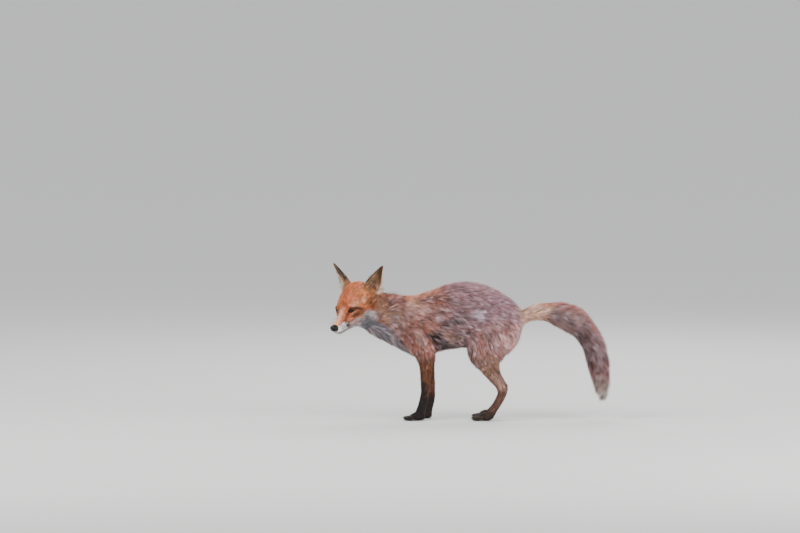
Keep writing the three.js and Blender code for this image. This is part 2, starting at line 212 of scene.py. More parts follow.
# Each marking, and each patch of painted shade or painted highlight, is airbrushed along a line:
# its colour, the line's two ends, its radius and softness in mm, its strength and, on some, the way
# that a surface must face to take it. Both sides of the fox take each of them. The head's marks and
# the ruff's are in the head's axes, and the ruff's reach the neck too; the body's are in the model's.
HEAD_MARKS_AND_PAINTED_LIGHT = (
    # the forehead, the bridge of the muzzle and the brows
    ("b9603a", (-30, 15, -14), (14, 12, 27), 5, 7, 0.6),
    # the bridge of the muzzle, painted pale: in part a painted highlight of the light from above
    ("ffc2a2", (-66, 0, -8), (-12, 0, 9), 7, 10, 0.92),
    ("dd9468", (22, 22, 30), (64, 32, 36), 4, 9, 0.45),
    ("e0a582", (16, 31, 18), (50, 46, 18), 6, 10, 0.72),
    # the side of the muzzle
    ("8a4630", (-32, 17, -15), (-23, 20, -25), 4, 6, 0.8),
    # the cheeks, lips and chin
    ("a89ea2", (20, 40, -44), (62, 60, -46), 17, 18, 0.9),
    ("cdc3c8", (30, 52, -28), (52, 62, -34), 9, 14, 0.8),
    ("f2eeee", (-56, 10, -25), (-34, 17, -27), 9, 4, 1.0),
    # the chin, white on a fox, painted light grey as painted shade under the head
    ("c9c1c0", (-60, 0, -44), (-14, 0, -54), 13, 6, 0.9),
    ("cfc3c0", (-14, 23, -31), (14, 40, -23), 3, 4, 0.8),
    # under the jaw, painted grey as painted shade under the head
    ("b3a9ac", (-14, 12, -54), (30, 20, -66), 20, 12, 0.85),
    ("30201b", (-28, 19, -28), (-21, 20, -31), 3.2, 3, 0.95),
    # round the eye: its corners, the lower lid and the line of the upper one, with painted shade from the
    # brow
    # painted shade at the inner corner, under the brow
    ("3a211a", (-3, 24, 8), (-6, 21, 2), 2.2, 3, 0.85),
    ("5e3a2c", (0, 35, -10), (24, 46, -9), 5.5, 6, 0.95),
    ("6b3525", (-10, 17, -2), (-24, 17, -14), 2.5, 4, 0.8),
    ("dcc3b4", (0, 30, -4), (16, 41, -5), 1, 1.6, 0.7),
    # painted shade on the upper lid, under the brow
    ("5a3323", (1, 29, 12), (18, 41, 4), 3.4, 3, 0.75),
    # the upper lid's dark line, on past the outer corner: its dark rim with painted shade from the brow
    ("351e17", (-1, 26, 15), (15, 38, 8), 2.2, 2, 0.92),
    ("40261c", (15, 38, 7), (31, 50, -4), 1.7, 2.5, 0.85),
    # behind the cheek
    ("4c3226", (56, 66, -14), (60, 68, -17), 5, 8, 0.85),
)
RUFF_MARKS = (
    ("6b656b", (18, 46, -66), (50, 66, -76), 12, 12, 0.85),
    # behind the ear, and the side of the ruff
    ("87552f", (62, 60, 4), (88, 74, -12), 14, 14, 0.8),
    ("7f5644", (84, 72, -2), (100, 84, -18), 13, 14, 0.75),
    ("84614d", (72, 80, -28), (104, 96, -58), 15, 16, 0.8),
    ("84685a", (72, 84, -44), (98, 100, -84), 17, 14, 0.9),
    ("8d7669", (58, 80, -50), (86, 96, -74), 12, 12, 0.85),
)
BODY_MARKS_AND_PAINTED_LIGHT = (
    # the nape
    ("6f483a", (-246, 57, 372), (-240, 65, 350), 14, 20, 0.85),
    ("8e4a38", (-230, 41, 374), (-212, 43, 362), 10, 14, 0.6),
    ("a0725a", (-258, 69, 330), (-246, 61, 300), 13, 14, 0.5),
    # the throat and the grey of the breast
    ("76767d", (-306, 58, 298), (-258, 43, 264), 24, 10, 0.9),
    ("8f898c", (-322, 36, 284), (-262, 30, 254), 17, 10, 0.9),
    ("717276", (-256, 44, 262), (-176, 22, 206), 19, 10, 0.9),
    # the withers and shoulders
    ("f5ad90", (-194, 15, 376), (-114, 15, 396), 24, 24, 0.88),
    ("d0a69c", (-178, 48, 338), (-135, 54, 332), 15, 16, 0.8),
    ("c9a77c", (-176, 45, 356), (-162, 51, 348), 7, 11, 0.55),
    ("cda69c", (-158, 72, 266), (-146, 76, 238), 11, 14, 0.75),
    # the back and the flank, with its pale patch
    ("ab9090", (-102, 67, 320), (-84, 69, 300), 10, 16, 0.5),
    # paler along the top of the back where it faces up: painted sheen of the light from above
    ("d0a3aa", (-50, 15, 420), (90, 15, 396), 24, 50, 0.68, (0, 0, 1)),
    ("433531", (-74, 69, 288), (-34, 71, 306), 12, 20, 0.9),
    ("a58b76", (-66, 60, 254), (-30, 62, 250), 8, 12, 0.6),
    ("ecdde8", (20, 70, 321), (32, 70, 314), 11, 9, 0.92),
    # painted shade: under the belly where it faces down, along its lower edge, and behind the elbow
    ("6c5230", (-70, 15, 214), (0, 15, 214), 28, 22, 0.9, (0, 0, -1)),
    ("57442e", (-60, 43, 223), (-16, 43, 223), 9, 8, 0.75),
    ("241613", (-106, 67, 253), (-74, 42, 224), 16, 7, 1.0),
    ("2e1b17", (-103, 66, 240), (-96, 56, 214), 9, 6, 0.95),
    # painted shade in the fold between flank and thigh and along the thigh's front edge
    ("3c2624", (-8, 64, 268), (-14, 53, 238), 4, 6, 0.75),
    ("3c2622", (-14, 58, 222), (22, 70, 165), 14, 8, 0.75, (-1, 0, 0)),
    # the top of the nape
    ("7c4d44", (-226, 28, 370), (-208, 40, 359), 14, 12, 0.5),
    # the thigh and the hock
    ("5e4a44", (42, 81, 268), (50, 83, 250), 6, 16, 0.6),
    ("b5908a", (2, 82, 238), (14, 83, 222), 9, 14, 0.6),
    ("9a7262", (10, 82, 196), (40, 76, 164), 13, 18, 0.55),
    ("b08a78", (82, 78, 130), (96, 74, 108), 8, 13, 0.6),
    ("bf9d9c", (84, 80, 300), (66, 82, 230), 12, 20, 0.4),
    ("d8b0aa", (144, 60, 274), (110, 76, 236), 18, 22, 0.75),
    # the tail, from its root along the arch to the pale tip
    ("fad0b8", (154, 15, 320), (230, 15, 338), 28, 14, 0.85),
    ("ae5a33", (236, 15, 358), (330, 15, 346), 23, 14, 0.95),
    ("985433", (330, 15, 346), (408, 15, 240), 20, 14, 0.85),
    ("8a4e3e", (410, 15, 236), (422, 15, 140), 16, 14, 0.75, (1, 0, 0)),
    ("352c2b", (240, 46, 326), (290, 49, 302), 7, 13, 0.8),
    ("ab8d72", (258, 28, 284), (300, 24, 262), 7, 11, 0.6),
    ("3a2b28", (328, 30, 268), (360, 30, 200), 14, 18, 0.85),
    ("553936", (350, 22, 248), (376, 26, 188), 15, 14, 0.6),
    ("99938a", (388, 15, 124), (394, 15, 100), 18, 14, 0.6),
    ("e4dcd4", (392, 15, 80), (396, 15, 50), 16, 10, 0.95),
    # the black of the forelegs
    ("1b1514", (-146, 63, 98), (-150, 61, 26), 13, 20, 0.95, (-0.6, 1, 0)),
    ("1b1514", (-150, 53, 98), (-162, 53, 26), 8, 16, 0.95, (-1, 0.3, 0)),
)
RAGGED = 0.9  # how far a marking's edge wanders, as a share of its softness
MOST_RAGGED = 8  # mm
EAR_BACK = "1d1816"
EAR_LINING = "a97e5c"
EAR_FRINGE = "e6c2ad"
EAR_FOOT = "96633f"
EAR_RIM = "e6cfb8"
EAR_SHADE = "42291f"
FACE_CLOUDS = (("d98c6c", 26, 6), ("a84a26", 22, 8), ("c98648", 30, 9))  # colour, size in mm, seed
FLECK = "e6cad3"  # the pale bands that grizzle the coat
PAD_SKIN = "191514"
LID_SKIN = "17100d"


def smooth_step(values, low, high):
    """0 up to the low end and 1 from the high end on, with a smooth rise between them."""
    t = np.clip((values - low) / (high - low), 0, 1)
    return t * t * (3 - 2 * t)


def from_line(points, start, end):
    """How far each point is from a stretch of a line."""
    start, along = np.asarray(start, float), np.asarray(end, float) - start
    share = np.clip(((points - start) @ along) / max(along @ along, SMALL), 0, 1)
    return np.linalg.norm(points - start - share[:, None] * along, axis=1)


def paint(colours, where, colour):
    """Lays a colour over others, each point by its own share."""
    return colours + where[:, None] * (linear(colour) - colours)


def mottle(points, size, seed):
    """Smooth noise about 0, with patches of a size in mm."""
    scale = 1 / (size * MM)
    shift = Vector((seed * 7.1, seed * 3.3, seed * 5.7))
    return np.array([noise.noise(Vector(p) * scale + shift) for p in points])


def ear_places(head_points, normals, nodes):
    """For each ear: what is its own, how far up it and out from its middle that is, as shares of
    its size, how much it faces the way the ear opens, and that ear's way outwards."""
    for word in SIDES:
        on_ear = np.array([n == "ear_" + word for n in nodes])
        root, up, back, outward = ear_axes(word)
        out = head_points - root
        rise = out @ up / EAR_HEIGHT
        aside = out @ outward / np.interp(rise, *zip(*EAR_HALF_WIDTHS))
        yield on_ear, rise, aside, -(normals @ HEAD_TURN.T) @ back, outward


def marks_and_painted_light(points, normals, colours, nodes):
    """The fox's markings, with patches of painted shade and painted highlight among them, over the colours
    of its regions.
    """
    head_points = to_head(points)
    on_head = np.array([region_of(n) in ON_HEAD for n in nodes])
    left = points[:, 1] / MM < BODY_MIDDLE
    turned = normals * np.where(left[:, None], (1, -1, 1), (1, 1, 1))
    middle = (0, BODY_MIDDLE, 0)
    ragged = mottle(points, 11, 5)
    for marks_and_light, places, takes in (
        (HEAD_MARKS_AND_PAINTED_LIGHT, one_sided(head_points), on_head),
        (RUFF_MARKS, one_sided(head_points), 1.0),
        (BODY_MARKS_AND_PAINTED_LIGHT, one_sided(points / MM - middle) + middle, 1.0),
    ):
        for colour, start, end, radius, soft, strength, *ways in marks_and_light:
            far = from_line(places, start, end) + RAGGED * min(soft, MOST_RAGGED) * ragged
            where = strength * (1 - smooth_step(far, radius - soft / 2, radius + soft)) * takes
            for way in ways:
                where = where * smooth_step(turned @ unit_way(way), -0.15, 0.45)
            colours = paint(colours, where, colour)
    for on_ear, rise, aside, facing, _ in ear_places(head_points, normals, nodes):
        inside = on_ear * smooth_step(facing, -0.2, 0.2)
        hollow = inside * (1 - smooth_step(np.abs(aside + 0.25), 0.1, 0.5))
        black = np.maximum(1 - smooth_step(facing, -0.35, 0.0), smooth_step(-aside, 0.74, 0.88))
        rim = smooth_step(aside, 0.5, 0.8) * smooth_step(facing, -0.7, -0.3)
        foot = (1 - smooth_step(aside, 0.3, 0.7)) * (1 - smooth_step(rise, 0.1, 0.26))
        for where, colour in (
            (inside * 0.9, EAR_LINING),
            (inside * smooth_step(rise + 0.3 * aside, 0.32, 0.72) * 0.88, EAR_SHADE),
            (hollow * (1 - smooth_step(rise, 0.2, 0.5)) * 0.55, EAR_SHADE),
            (on_ear * black * smooth_step(rise, 0.12, 0.32) * 0.95, EAR_BACK),
            (on_ear * (rim * smooth_step(rise, -0.05, 0.1)) * 0.9, EAR_RIM),
            (on_ear * foot * 0.85, EAR_FOOT),
        ):
            colours = paint(colours, where, colour)
    return colours


# ---- Meshes as arrays ---------------------------------------------------------------------


def numbers_of(items, key, each, kind=np.float32):
    """A property of a mesh's items, with a row of numbers for each."""
    numbers = np.empty(len(items) * each, kind)
    items.foreach_get(key, numbers)
    return numbers.reshape(-1, each)


def fill(items, key, numbers, kind=np.float32):
    """Sets a property of all of a mesh's items."""
    items.foreach_set(key, np.asarray(numbers, kind).ravel())


def places_of(mesh):
    return numbers_of(mesh.vertices, "co", 3).astype(float)


def set_places(mesh, places):
    fill(mesh.vertices, "co", places)
    mesh.update()


def normals_of(mesh):
    return numbers_of(mesh.vertex_normals, "vector", 3).astype(float)


def blended(points, values, cell=5.0, rounds=5):
    """Values averaged over the neighbourhood of each point, on a grid with cells of a size in mm."""
    spots = (points - points.min(axis=0)) / (cell * MM) + rounds + 1
    shape = np.ceil(spots.max(axis=0)).astype(int) + rounds + 2
    floor = np.floor(spots).astype(int)
    part = spots - floor
    rows = np.column_stack([values, np.ones(len(points))])
    grid = np.zeros((shape.prod(), rows.shape[1]))
    corners = []
    for step in np.ndindex(2, 2, 2):
        share = np.prod(np.where(step, part, 1 - part), axis=1)
        spot = np.ravel_multi_index(tuple((floor + step).T), shape)
        corners.append((share, spot))
        for k in range(rows.shape[1]):
            grid[:, k] += np.bincount(spot, share * rows[:, k], len(grid))
    grid = grid.reshape(*shape, -1)
    for _ in range(rounds):
        for axis in range(3):
            grid = 0.5 * grid + 0.25 * (np.roll(grid, 1, axis) + np.roll(grid, -1, axis))
    grid = grid.reshape(-1, rows.shape[1])
    total = sum(share[:, None] * grid[spot] for share, spot in corners)
    return total[:, :-1] / total[:, -1:]


def point_tree(points, numbers):
    """A tree of some of the points, by their numbers."""
    tree = kdtree.KDTree(len(numbers))
    for i in numbers:
        tree.insert(Vector(points[i]), int(i))
    tree.balance()
    return tree


def found_in(tree, points):
    """The number of the tree's point that is nearest to each point."""
    return np.array([tree.find(Vector(p))[1] for p in points])


def unit(vectors):
    """Each vector at length 1."""
    return vectors / np.maximum(np.linalg.norm(vectors, axis=1), SMALL)[:, None]


def across(vectors, way):
    """What is left of each vector at right angles to a way."""
    return vectors - way * np.sum(vectors * way, axis=1)[:, None]


def colour_points(mesh, name, colours):
    layer = mesh.color_attributes.new(name=name, type="FLOAT_COLOR", domain="POINT")
    fill(layer.data, "color", np.column_stack([np.clip(colours, 0, 1), np.ones(len(colours))]))


def new_object(name, data):
    obj = bpy.data.objects.new(name, data)
    bpy.context.scene.collection.objects.link(obj)
    return obj


def new_piece(name, mesh, material, slot, *replaced):
    """A finished piece: it rides on the fox's one body and takes the material given. Its slot is not used.
    """
    piece = bpy.data.objects.get(name) or bpy.data.objects.new(name, mesh)
    if piece.name not in bpy.context.scene.collection.objects:
        bpy.context.scene.collection.objects.link(piece)
    mesh.materials.clear()
    mesh.materials.append(material)
    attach(piece, "root")
    if replaced:
        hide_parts(*replaced)
    return piece


def latest():
    """The object that the last operator made or left active."""
    return bpy.context.view_layer.objects.active


def select_only(*objects):
    bpy.ops.object.select_all(action="DESELECT")
    for obj in objects:
        obj.select_set(True)
    bpy.context.view_layer.objects.active = objects[0]


def new_ball(name, segments, rings, radius):
    """A smooth ball about the origin."""
    bpy.ops.object.select_all(action="DESELECT")
    bpy.ops.mesh.primitive_uv_sphere_add(segments=segments, ring_count=rings, radius=radius)
    bpy.ops.object.shade_smooth()
    ball = latest()
    ball.name = name
    return ball


def apply_modifier(obj, kind, **settings):
    select_only(obj)
    modifier = obj.modifiers.new(kind.title(), kind)
    for key, value in settings.items():
        setattr(modifier, key, value)
    bpy.ops.object.modifier_apply(modifier=modifier.name)


def edit_whole(obj, edit, **settings):
    """Makes one edit to all of an object."""
    select_only(obj)
    bpy.ops.object.mode_set(mode="EDIT")
    bpy.ops.mesh.select_all(action="SELECT")
    edit(**settings)
    bpy.ops.object.mode_set(mode="OBJECT")


# ---- Materials ----------------------------------------------------------------------------

COAT_VALUES = {"attribute_name": "coat", "attribute_type": "GEOMETRY"}
GAZE_VALUES = {"attribute_name": "gaze", "attribute_type": "GEOMETRY"}


def material_of(name, roughness, specular=0.5, **sockets):
    material = bpy.data.materials.new(name)
    material.use_nodes = True
    shader = material.node_tree.nodes["Principled BSDF"]
    shader.inputs["Roughness"].default_value = roughness
    shader.inputs["Specular IOR Level"].default_value = specular
    for socket, value in sockets.items():
        shader.inputs[socket.replace("_", " ")].default_value = value
    return material, material.node_tree, shader


def add_node(tree, kind, settings=None, links=None, **values):
    """A node with its settings, its input values and its links from other sockets."""
    node = tree.nodes.new("ShaderNode" + kind)
    for key, value in (settings or {}).items():
        setattr(node, key, value)
    for key, value in values.items():
        node.inputs[key.replace("_", " ")].default_value = value
    for key, socket in (links or {}).items():
        tree.links.new(socket, node.inputs[key])
    return node


def fur_material():
    """Red fox fur, lying flat: matt, with the soft pale edge that many fine hairs give."""
    material, tree, shader = material_of("fox_fur", 0.62, 0.22, Sheen_Weight=0.12, Sheen_Roughness=0.5)
    tree.links.new(add_node(tree, "Attribute", COAT_VALUES).outputs["Color"], shader.inputs["Base Color"])
    return material


def skin_material():
    """Fox hide under short fur: matt, its nap a fine bump with hairs about a millimetre apart."""
    material, tree, shader = material_of("fox_hide", 0.8, 0.2)
    tree.links.new(add_node(tree, "Attribute", COAT_VALUES).outputs["Color"], shader.inputs["Base Color"])
    place = add_node(tree, "TexCoord")
    nap = add_node(tree, "TexNoise", None, {"Vector": place.outputs["Object"]}, Scale=900.0, Detail=3.0)
    bump = add_node(tree, "Bump", None, {"Height": nap.outputs["Fac"]}, Strength=0.5, Distance=0.0006)
    tree.links.new(bump.outputs["Normal"], shader.inputs["Normal"])
    return material


def nose_material():
    """Wet nose leather: black pebbles about 0.8 mm across under a thin film of moisture."""
    material, tree, shader = material_of("nose_leather", 0.4, 0.22, Coat_Weight=0.14, Coat_Roughness=0.2)
    shader.inputs["Base Color"].default_value = rgba("08070b")
    place = add_node(tree, "TexCoord")
    cells = add_node(tree, "TexVoronoi", None, {"Vector": place.outputs["Object"]}, Scale=1250.0)
    bump = add_node(
        tree, "Bump", {"invert": True}, {"Height": cells.outputs["Distance"]}, Strength=0.5, Distance=0.0003
    )
    tree.links.new(bump.outputs["Normal"], shader.inputs["Normal"])
    return material


def claw_material():
    """Horn of a claw: dark brown-grey, worn smooth, a little glossy."""
    material, tree, shader = material_of("claw_horn", 0.35, 0.45)
    place = add_node(tree, "TexCoord")
    grain = add_node(tree, "TexNoise", None, {"Vector": place.outputs["Object"]}, Scale=400.0, Detail=2.0)
    shade = add_node(tree, "ValToRGB", None, {"Fac": grain.outputs["Fac"]})
    shade.color_ramp.elements[0].color = rgba("171311")
    shade.color_ramp.elements[1].color = rgba("3a302a")
    tree.links.new(shade.outputs["Color"], shader.inputs["Base Color"])
    return material


def whisker_material():
    """Vibrissae: stiff black hairs with a slight gloss."""
    material, _, shader = material_of("whisker_hair", 0.4, 0.4)
    shader.inputs["Base Color"].default_value = rgba("1a1614")
    return material


def eye_material():
    """A fox's eye: a brown iris round an upright slit pupil, dark at its edge, under a wet clear cornea.
    The iris is painted darker than a fox's amber, as painted shade from the brow.
    """
    material, tree, shader = material_of("fox_eye", 0.35, 0.12, Coat_Weight=0.14, Coat_Roughness=0.04)
    gaze = add_node(tree, "Attribute", GAZE_VALUES)
    # how far out on the iris, in mm, and how far out of a slit 2.4 mm wide and 6.8 mm high
    lengths = []
    for scale in ((0, 1, 1), (0, 1 / 1.2, 1 / 3.4)):
        scaled = add_node(tree, "VectorMath", {"operation": "MULTIPLY"}, {0: gaze.outputs["Vector"]})
        scaled.inputs[1].default_value = scale
        length = add_node(tree, "VectorMath", {"operation": "LENGTH"}, {0: scaled.outputs["Vector"]})
        lengths.append(length.outputs["Value"])
    reach = add_node(tree, "MapRange", None, {"Value": lengths[0]}, From_Max=8.0)
    iris = add_node(tree, "ValToRGB", None, {"Fac": reach.outputs["Result"]})
    ramp = iris.color_ramp.elements
    # the iris painted dark brown: the eye's amber darkened as painted shade from the brow
    ramp[0].position, ramp[0].color = 0.2, rgba("3c210c")
    ramp[1].position, ramp[1].color = 0.82, rgba("0d0805")
    ramp.new(0.66).color = rgba("241307")
    pupil = add_node(tree, "MapRange", None, {"Value": lengths[1]}, From_Min=0.9, From_Max=1.1)
    mixed = add_node(
        tree, "Mix", {"data_type": "RGBA"}, {"Factor": pupil.outputs["Result"], 7: iris.outputs["Color"]}
    )
    mixed.inputs[6].default_value = rgba("050404")
    tree.links.new(mixed.outputs[2], shader.inputs["Base Color"])
    return material


# ---- The skin -----------------------------------------------------------------------------

INSET = 0.78  # how much of the coat lies outside the skin where the hairs lie flat
RIM_BAND = 0.042  # radians either side of an eye's rim
RIM_SHIFT = 0.7  # mm
LID_THICKNESS = 0.9  # mm
LID_ROLL = 0.5  # mm, added at the rim
EYE_HOLLOW = 1.5  # mm, how far behind the ball's surface the skin is within the opening
FAR_OUTSIDE = -9.0  # for places that are nowhere near an eye's opening
# Where faces are added, one after another: the reach in mm from a place, or else from the eyes.
REFINED = ((44, (-34, 0, -18)), (17, None), (14, None))
SEAM_OVERLAP = 0.4 * MM
MERGE_GAP = 0.01 * MM
VOXEL = 2.0 * MM
SMOOTH_ROUNDS = 90
PLAIN = 0.25  # regions smoothed more than this keep fewer faces
KEPT_FACES = 0.4  # the share of their faces that they keep


def joined_copies(name, nodes):
    """One object of copies of CAD nodes, with their corners merged."""
    select_only(*[new_object(name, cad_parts[node].data.copy()) for node in nodes])
    bpy.ops.object.join()
    joined = latest()
    edit_whole(joined, bpy.ops.mesh.remove_doubles, threshold=MERGE_GAP)
    return joined


class NodeFinder:
    """Which CAD node each point is nearest to."""

    def __init__(self):
        points, faces, self.names = [], [], []
        for node in FLESH:
            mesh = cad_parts[node].data
            start = len(points)
            points += [v.co.copy() for v in mesh.vertices]
            faces += [[start + i for i in p.vertices] for p in mesh.polygons]
            self.names += [node] * len(mesh.polygons)
        self.tree = BVHTree.FromPolygons(points, faces)

    def __call__(self, points):
        return np.array([self.names[self.tree.find_nearest(Vector(p))[2]] for p in points])


def lie_of(node):
    """The way a node's hairs point, in the model."""
    region = region_of(node)
    if region == "ear":
        return unit_way(ear_axes(node.removeprefix("ear_"))[1] @ HEAD_TURN)
    lie = np.array(REGIONS[region].lie, float)
    return unit_way(lie @ HEAD_TURN if region in ON_HEAD else lie)


FIELDS = Coat._fields[:6]


def fields_at(nodes, places):
    """Each vertex's coat, running smoothly from one region into the next: numbers, lie and colour."""
    names = sorted(set(nodes))
    coats = [REGIONS[region_of(n)] for n in names]
    rows = np.array([[*coat[:6], *lie_of(n), *linear(coat.colour)] for n, coat in zip(names, coats)])
    values = rows[np.searchsorted(names, nodes)]
    numbers = blended(places, values[:, :6], 3.0, 4)
    rest = blended(places, values[:, 6:], 6.0, 8)
    return dict(zip(FIELDS, numbers.T)), rest[:, :3], rest[:, 3:]


def eye_nearness(points_on_head, reach):
    """1 at the eyes, falling to 0 at a reach in mm from their middles."""
    near = np.zeros(len(points_on_head))
    for side in SIDES.values():
        far = np.linalg.norm(points_on_head - eye_axes(side)[0], axis=1)
        near = np.maximum(near, 1 - smooth_step(far, EYE_RADIUS + 1.5, reach))
    return near


def tail_fullness(places):
    """0 at the end of the brush and 1 from six centimetres away from it."""
    return smooth_step(np.linalg.norm(places / MM - TAIL_END, axis=1), 8, 62)


def thin_out(obj, chosen):
    """Leaves fewer faces where the body is plain, and all of them on the head and feet."""
    group = obj.vertex_groups.new(name="plain")
    group.add(np.flatnonzero(chosen).tolist(), 1.0, "REPLACE")
    apply_modifier(obj, "DECIMATE", ratio=KEPT_FACES, vertex_group="plain")
    obj.vertex_groups.clear()


def refine(obj, chosen):
    """Subdivides the faces of the chosen vertices once."""
    select_only(obj)
    mesh = obj.data
    fill(mesh.polygons, "select", np.zeros(len(mesh.polygons)), bool)
    fill(mesh.edges, "select", np.zeros(len(mesh.edges)), bool)
    fill(mesh.vertices, "select", chosen, bool)
    bpy.ops.object.mode_set(mode="EDIT")
    bpy.ops.mesh.select_mode(type="VERT")
    bpy.ops.mesh.subdivide(number_cuts=1, smoothness=0.0)
    bpy.ops.object.mode_set(mode="OBJECT")


def opening(points, side):
    """For points round an eye: how far within its opening each is, in radians round the ball and
    less than 0 outside, and its place and its distance from the ball's middle."""
    middle, faces, outer, up = eye_axes(side)
    out = points - middle
    far = np.linalg.norm(out, axis=1)
    ahead = out @ faces
    turn = np.arctan2(out @ outer, np.maximum(ahead, 0.1))
    rise = np.arctan2(out @ up, np.maximum(ahead, 0.1))
    share = np.clip((turn + EYE_TURN) / (2 * EYE_TURN), 0, 1)
    above = 0.5 * (1 - share) ** 0.6 * np.clip(share * 6, 0, 1) ** 0.5
    below = -0.5 * (4 * share * (1 - share)) ** 0.8 * (1 - 0.62 * share)
    edge = np.minimum(above - rise, rise - below)
    beyond = np.maximum(np.abs(turn) - EYE_TURN, 0)
    edge = np.where(beyond > 0, -np.hypot(beyond, np.maximum(-edge, 0)), edge)
    near = (ahead > 0) & (far < 20)
    return np.where(near, edge, FAR_OUTSIDE), out, far


def rimmed(points, side):
    """Draws the corners nearest to the rim of an eye's opening onto it."""
    edge = opening(points, side)[0]
    step = 0.05
    slope = np.stack([(opening(points + step * way, side)[0] - edge) / step for way in np.eye(3)], axis=1)
    shift = slope * (edge / np.maximum(np.sum(slope**2, axis=1), SMALL))[:, None]
    far = np.linalg.norm(shift, axis=1)[:, None]
    return points - np.where((np.abs(edge) < RIM_BAND)[:, None] & (far < RIM_SHIFT), shift, 0)


def lidded(points, side):
    """Shapes the lids round one eye: out over the ball, and in behind it within the opening."""
    points = rimmed(rimmed(points, side), side)
    edge, out, far = opening(points, side)
    edge = np.where(np.abs(edge) < 0.01, 0, edge)
    ball = EYE_RADIUS + LID_THICKNESS + LID_ROLL * np.exp(-np.abs(edge) / 0.12)
    lid = (edge <= 0) & (edge > FAR_OUTSIDE) & (far < 17)
    wanted = np.where(edge > 0, EYE_RADIUS - EYE_HOLLOW, np.where(lid, np.maximum(far, ball), far))
    return eye_axes(side)[0] + out * (wanted / np.maximum(far, SMALL))[:, None]


def mouth_distance(head_points):
    """How far each point is from the line of the lips, in mm."""
    points = one_sided(head_points)
    return np.min([from_line(points, *ends) for ends in zip(MOUTH, MOUTH[1:])], axis=0)


def wide_ear(head_points):
    """The foot of the right ear, which is turned further out, spreads down the temple."""
    out = head_points - ear_axes("right")[0]
    _, up, back, outward = ear_axes("right")
    rise = out @ up / EAR_HEIGHT
    share = smooth_step(out @ outward / np.interp(rise, *zip(*EAR_HALF_WIDTHS)), 0.1, 0.9)
    share *= (1 - smooth_step(rise, 0.15, 0.8)) * smooth_step(rise, -0.35, 0.05)
    share *= 1 - smooth_step(np.abs(out @ back), 18, 34)
    return head_points + 8 * share[:, None] * outward


# Each fold of the face: the ends of its line, its radius and how far it stands out, in mm.
FOLDS = (
    ((4, 27, 17), (22, 38, 20), 8, 1.8),  # the brow
    ((-12, 17, 0), (-2, 20, -2), 7, -2.2),  # the inner corner of the eye
    ((6, 36, -8), (26, 50, -8), 11, 1.6),  # the cheekbone
    ((-34, 17, -12), (-14, 20, -12), 8, -1.4),  # the side of the muzzle
    ((-58, 12, -24), (-42, 15, -24), 8, 1.4),  # the lip
    ((0, 0, 18), (30, 0, 40), 7, -1.0),  # the furrow of the forehead
)
LIP_DEPTH = 1.5  # mm


def face_shaped(places, normals):
    """The folds of the face: brows, sockets, cheekbones, the lips' line and the lids."""
    head = to_head(places)
    out = normals @ HEAD_TURN.T
    points = one_sided(head)
    for start, end, radius, push in FOLDS:
        head = head + out * (push * (1 - smooth_step(from_line(points, start, end), 0, radius)))[:, None]
    head = head - out * (LIP_DEPTH * (1 - smooth_step(mouth_distance(head), 0.2, 1.7)))[:, None]
    head = wide_ear(head)
    for side in SIDES.values():
        head = lidded(head, side)
    return from_head(head)


# Each paw's pad: where its middle stands, and how wide and long it is, in mm.
PAWS = {
    "forepaw_left": ((-157, -22.4), 44, 46),
    "forepaw_right": ((-135, 53.6), 44, 46),
    "hind_paw_left": ((48, -34.4), 40, 46),
    "hind_paw_right": ((51, 65.6), 40, 46),
}


def toes():
    """Each toe's middle, radii and splay: four round each pad, the outer ones further back."""
    for (x, y), wide, long in PAWS.values():
        for place in (-1.5, -0.5, 0.5, 1.5):
            reach = long * (0.64 if abs(place) < 1 else 0.47)
            middle = np.array([x - reach, y + place * wide * 0.24, 8])
            yield middle, np.array([long * 0.31, wide * 0.165, 9]), place


def without_claws(places):
    """Draws what stands out ahead of each toe back onto the toe, as the claws are their own piece."""
    points = places / MM
    for middle, radii, _ in toes():
        out = points - middle
        round_toe = np.linalg.norm(out / radii, axis=1)
        ahead = (out[:, 0] < -2) & (out[:, 0] > -40) & (np.abs(out[:, 1]) < radii[1] * 1.2)
        ahead &= (round_toe > 1.02) & (out[:, 2] < 14)
        points = np.where(ahead[:, None], middle + out / np.maximum(round_toe, SMALL)[:, None], points)
    return points * MM


def hide_surface():
    """The flesh as one closed surface: copies of its nodes, with a ball in the place of each eye."""
    obj = joined_copies("skin", FLESH)
    for side in SIDES.values():
        bpy.ops.mesh.primitive_uv_sphere_add(
            segments=32, ring_count=16, radius=(EYE_RADIUS + 1) * MM, location=from_head(eye_axes(side)[0])
        )
        select_only(obj, latest())
        bpy.ops.object.join()
    set_places(obj.data, without_claws(places_of(obj.data)))
    apply_modifier(obj, "DISPLACE", strength=SEAM_OVERLAP, mid_level=0)
    apply_modifier(obj, "REMESH", mode="VOXEL", voxel_size=VOXEL, adaptivity=0)
    return obj


def evened(places, edges, weight):
    """Places drawn again and again towards the middle of their neighbours, each by its weight."""
    first, second = edges.T
    count = np.bincount(edges.ravel(), minlength=len(places))[:, None]
    for _ in range(SMOOTH_ROUNDS):
        sums = [
            np.bincount(first, places[second, k], len(places))
            + np.bincount(second, places[first, k], len(places))
            for k in range(3)
        ]
        places = places + 0.5 * weight * (np.stack(sums, axis=1) / count - places)
    return places


def coat_room(places, depth, near_eyes):
    """How far the skin is drawn in under the coat, in mm: less on the muzzle and the tail's end."""
    muzzle = from_line(to_head(places), NOSE_PAD, (-30, 0, -20))
    room = depth * (1 - near_eyes) * INSET * (0.45 + 0.55 * smooth_step(muzzle, 14, 34))
    return room * (0.4 + 0.6 * tail_fullness(places))


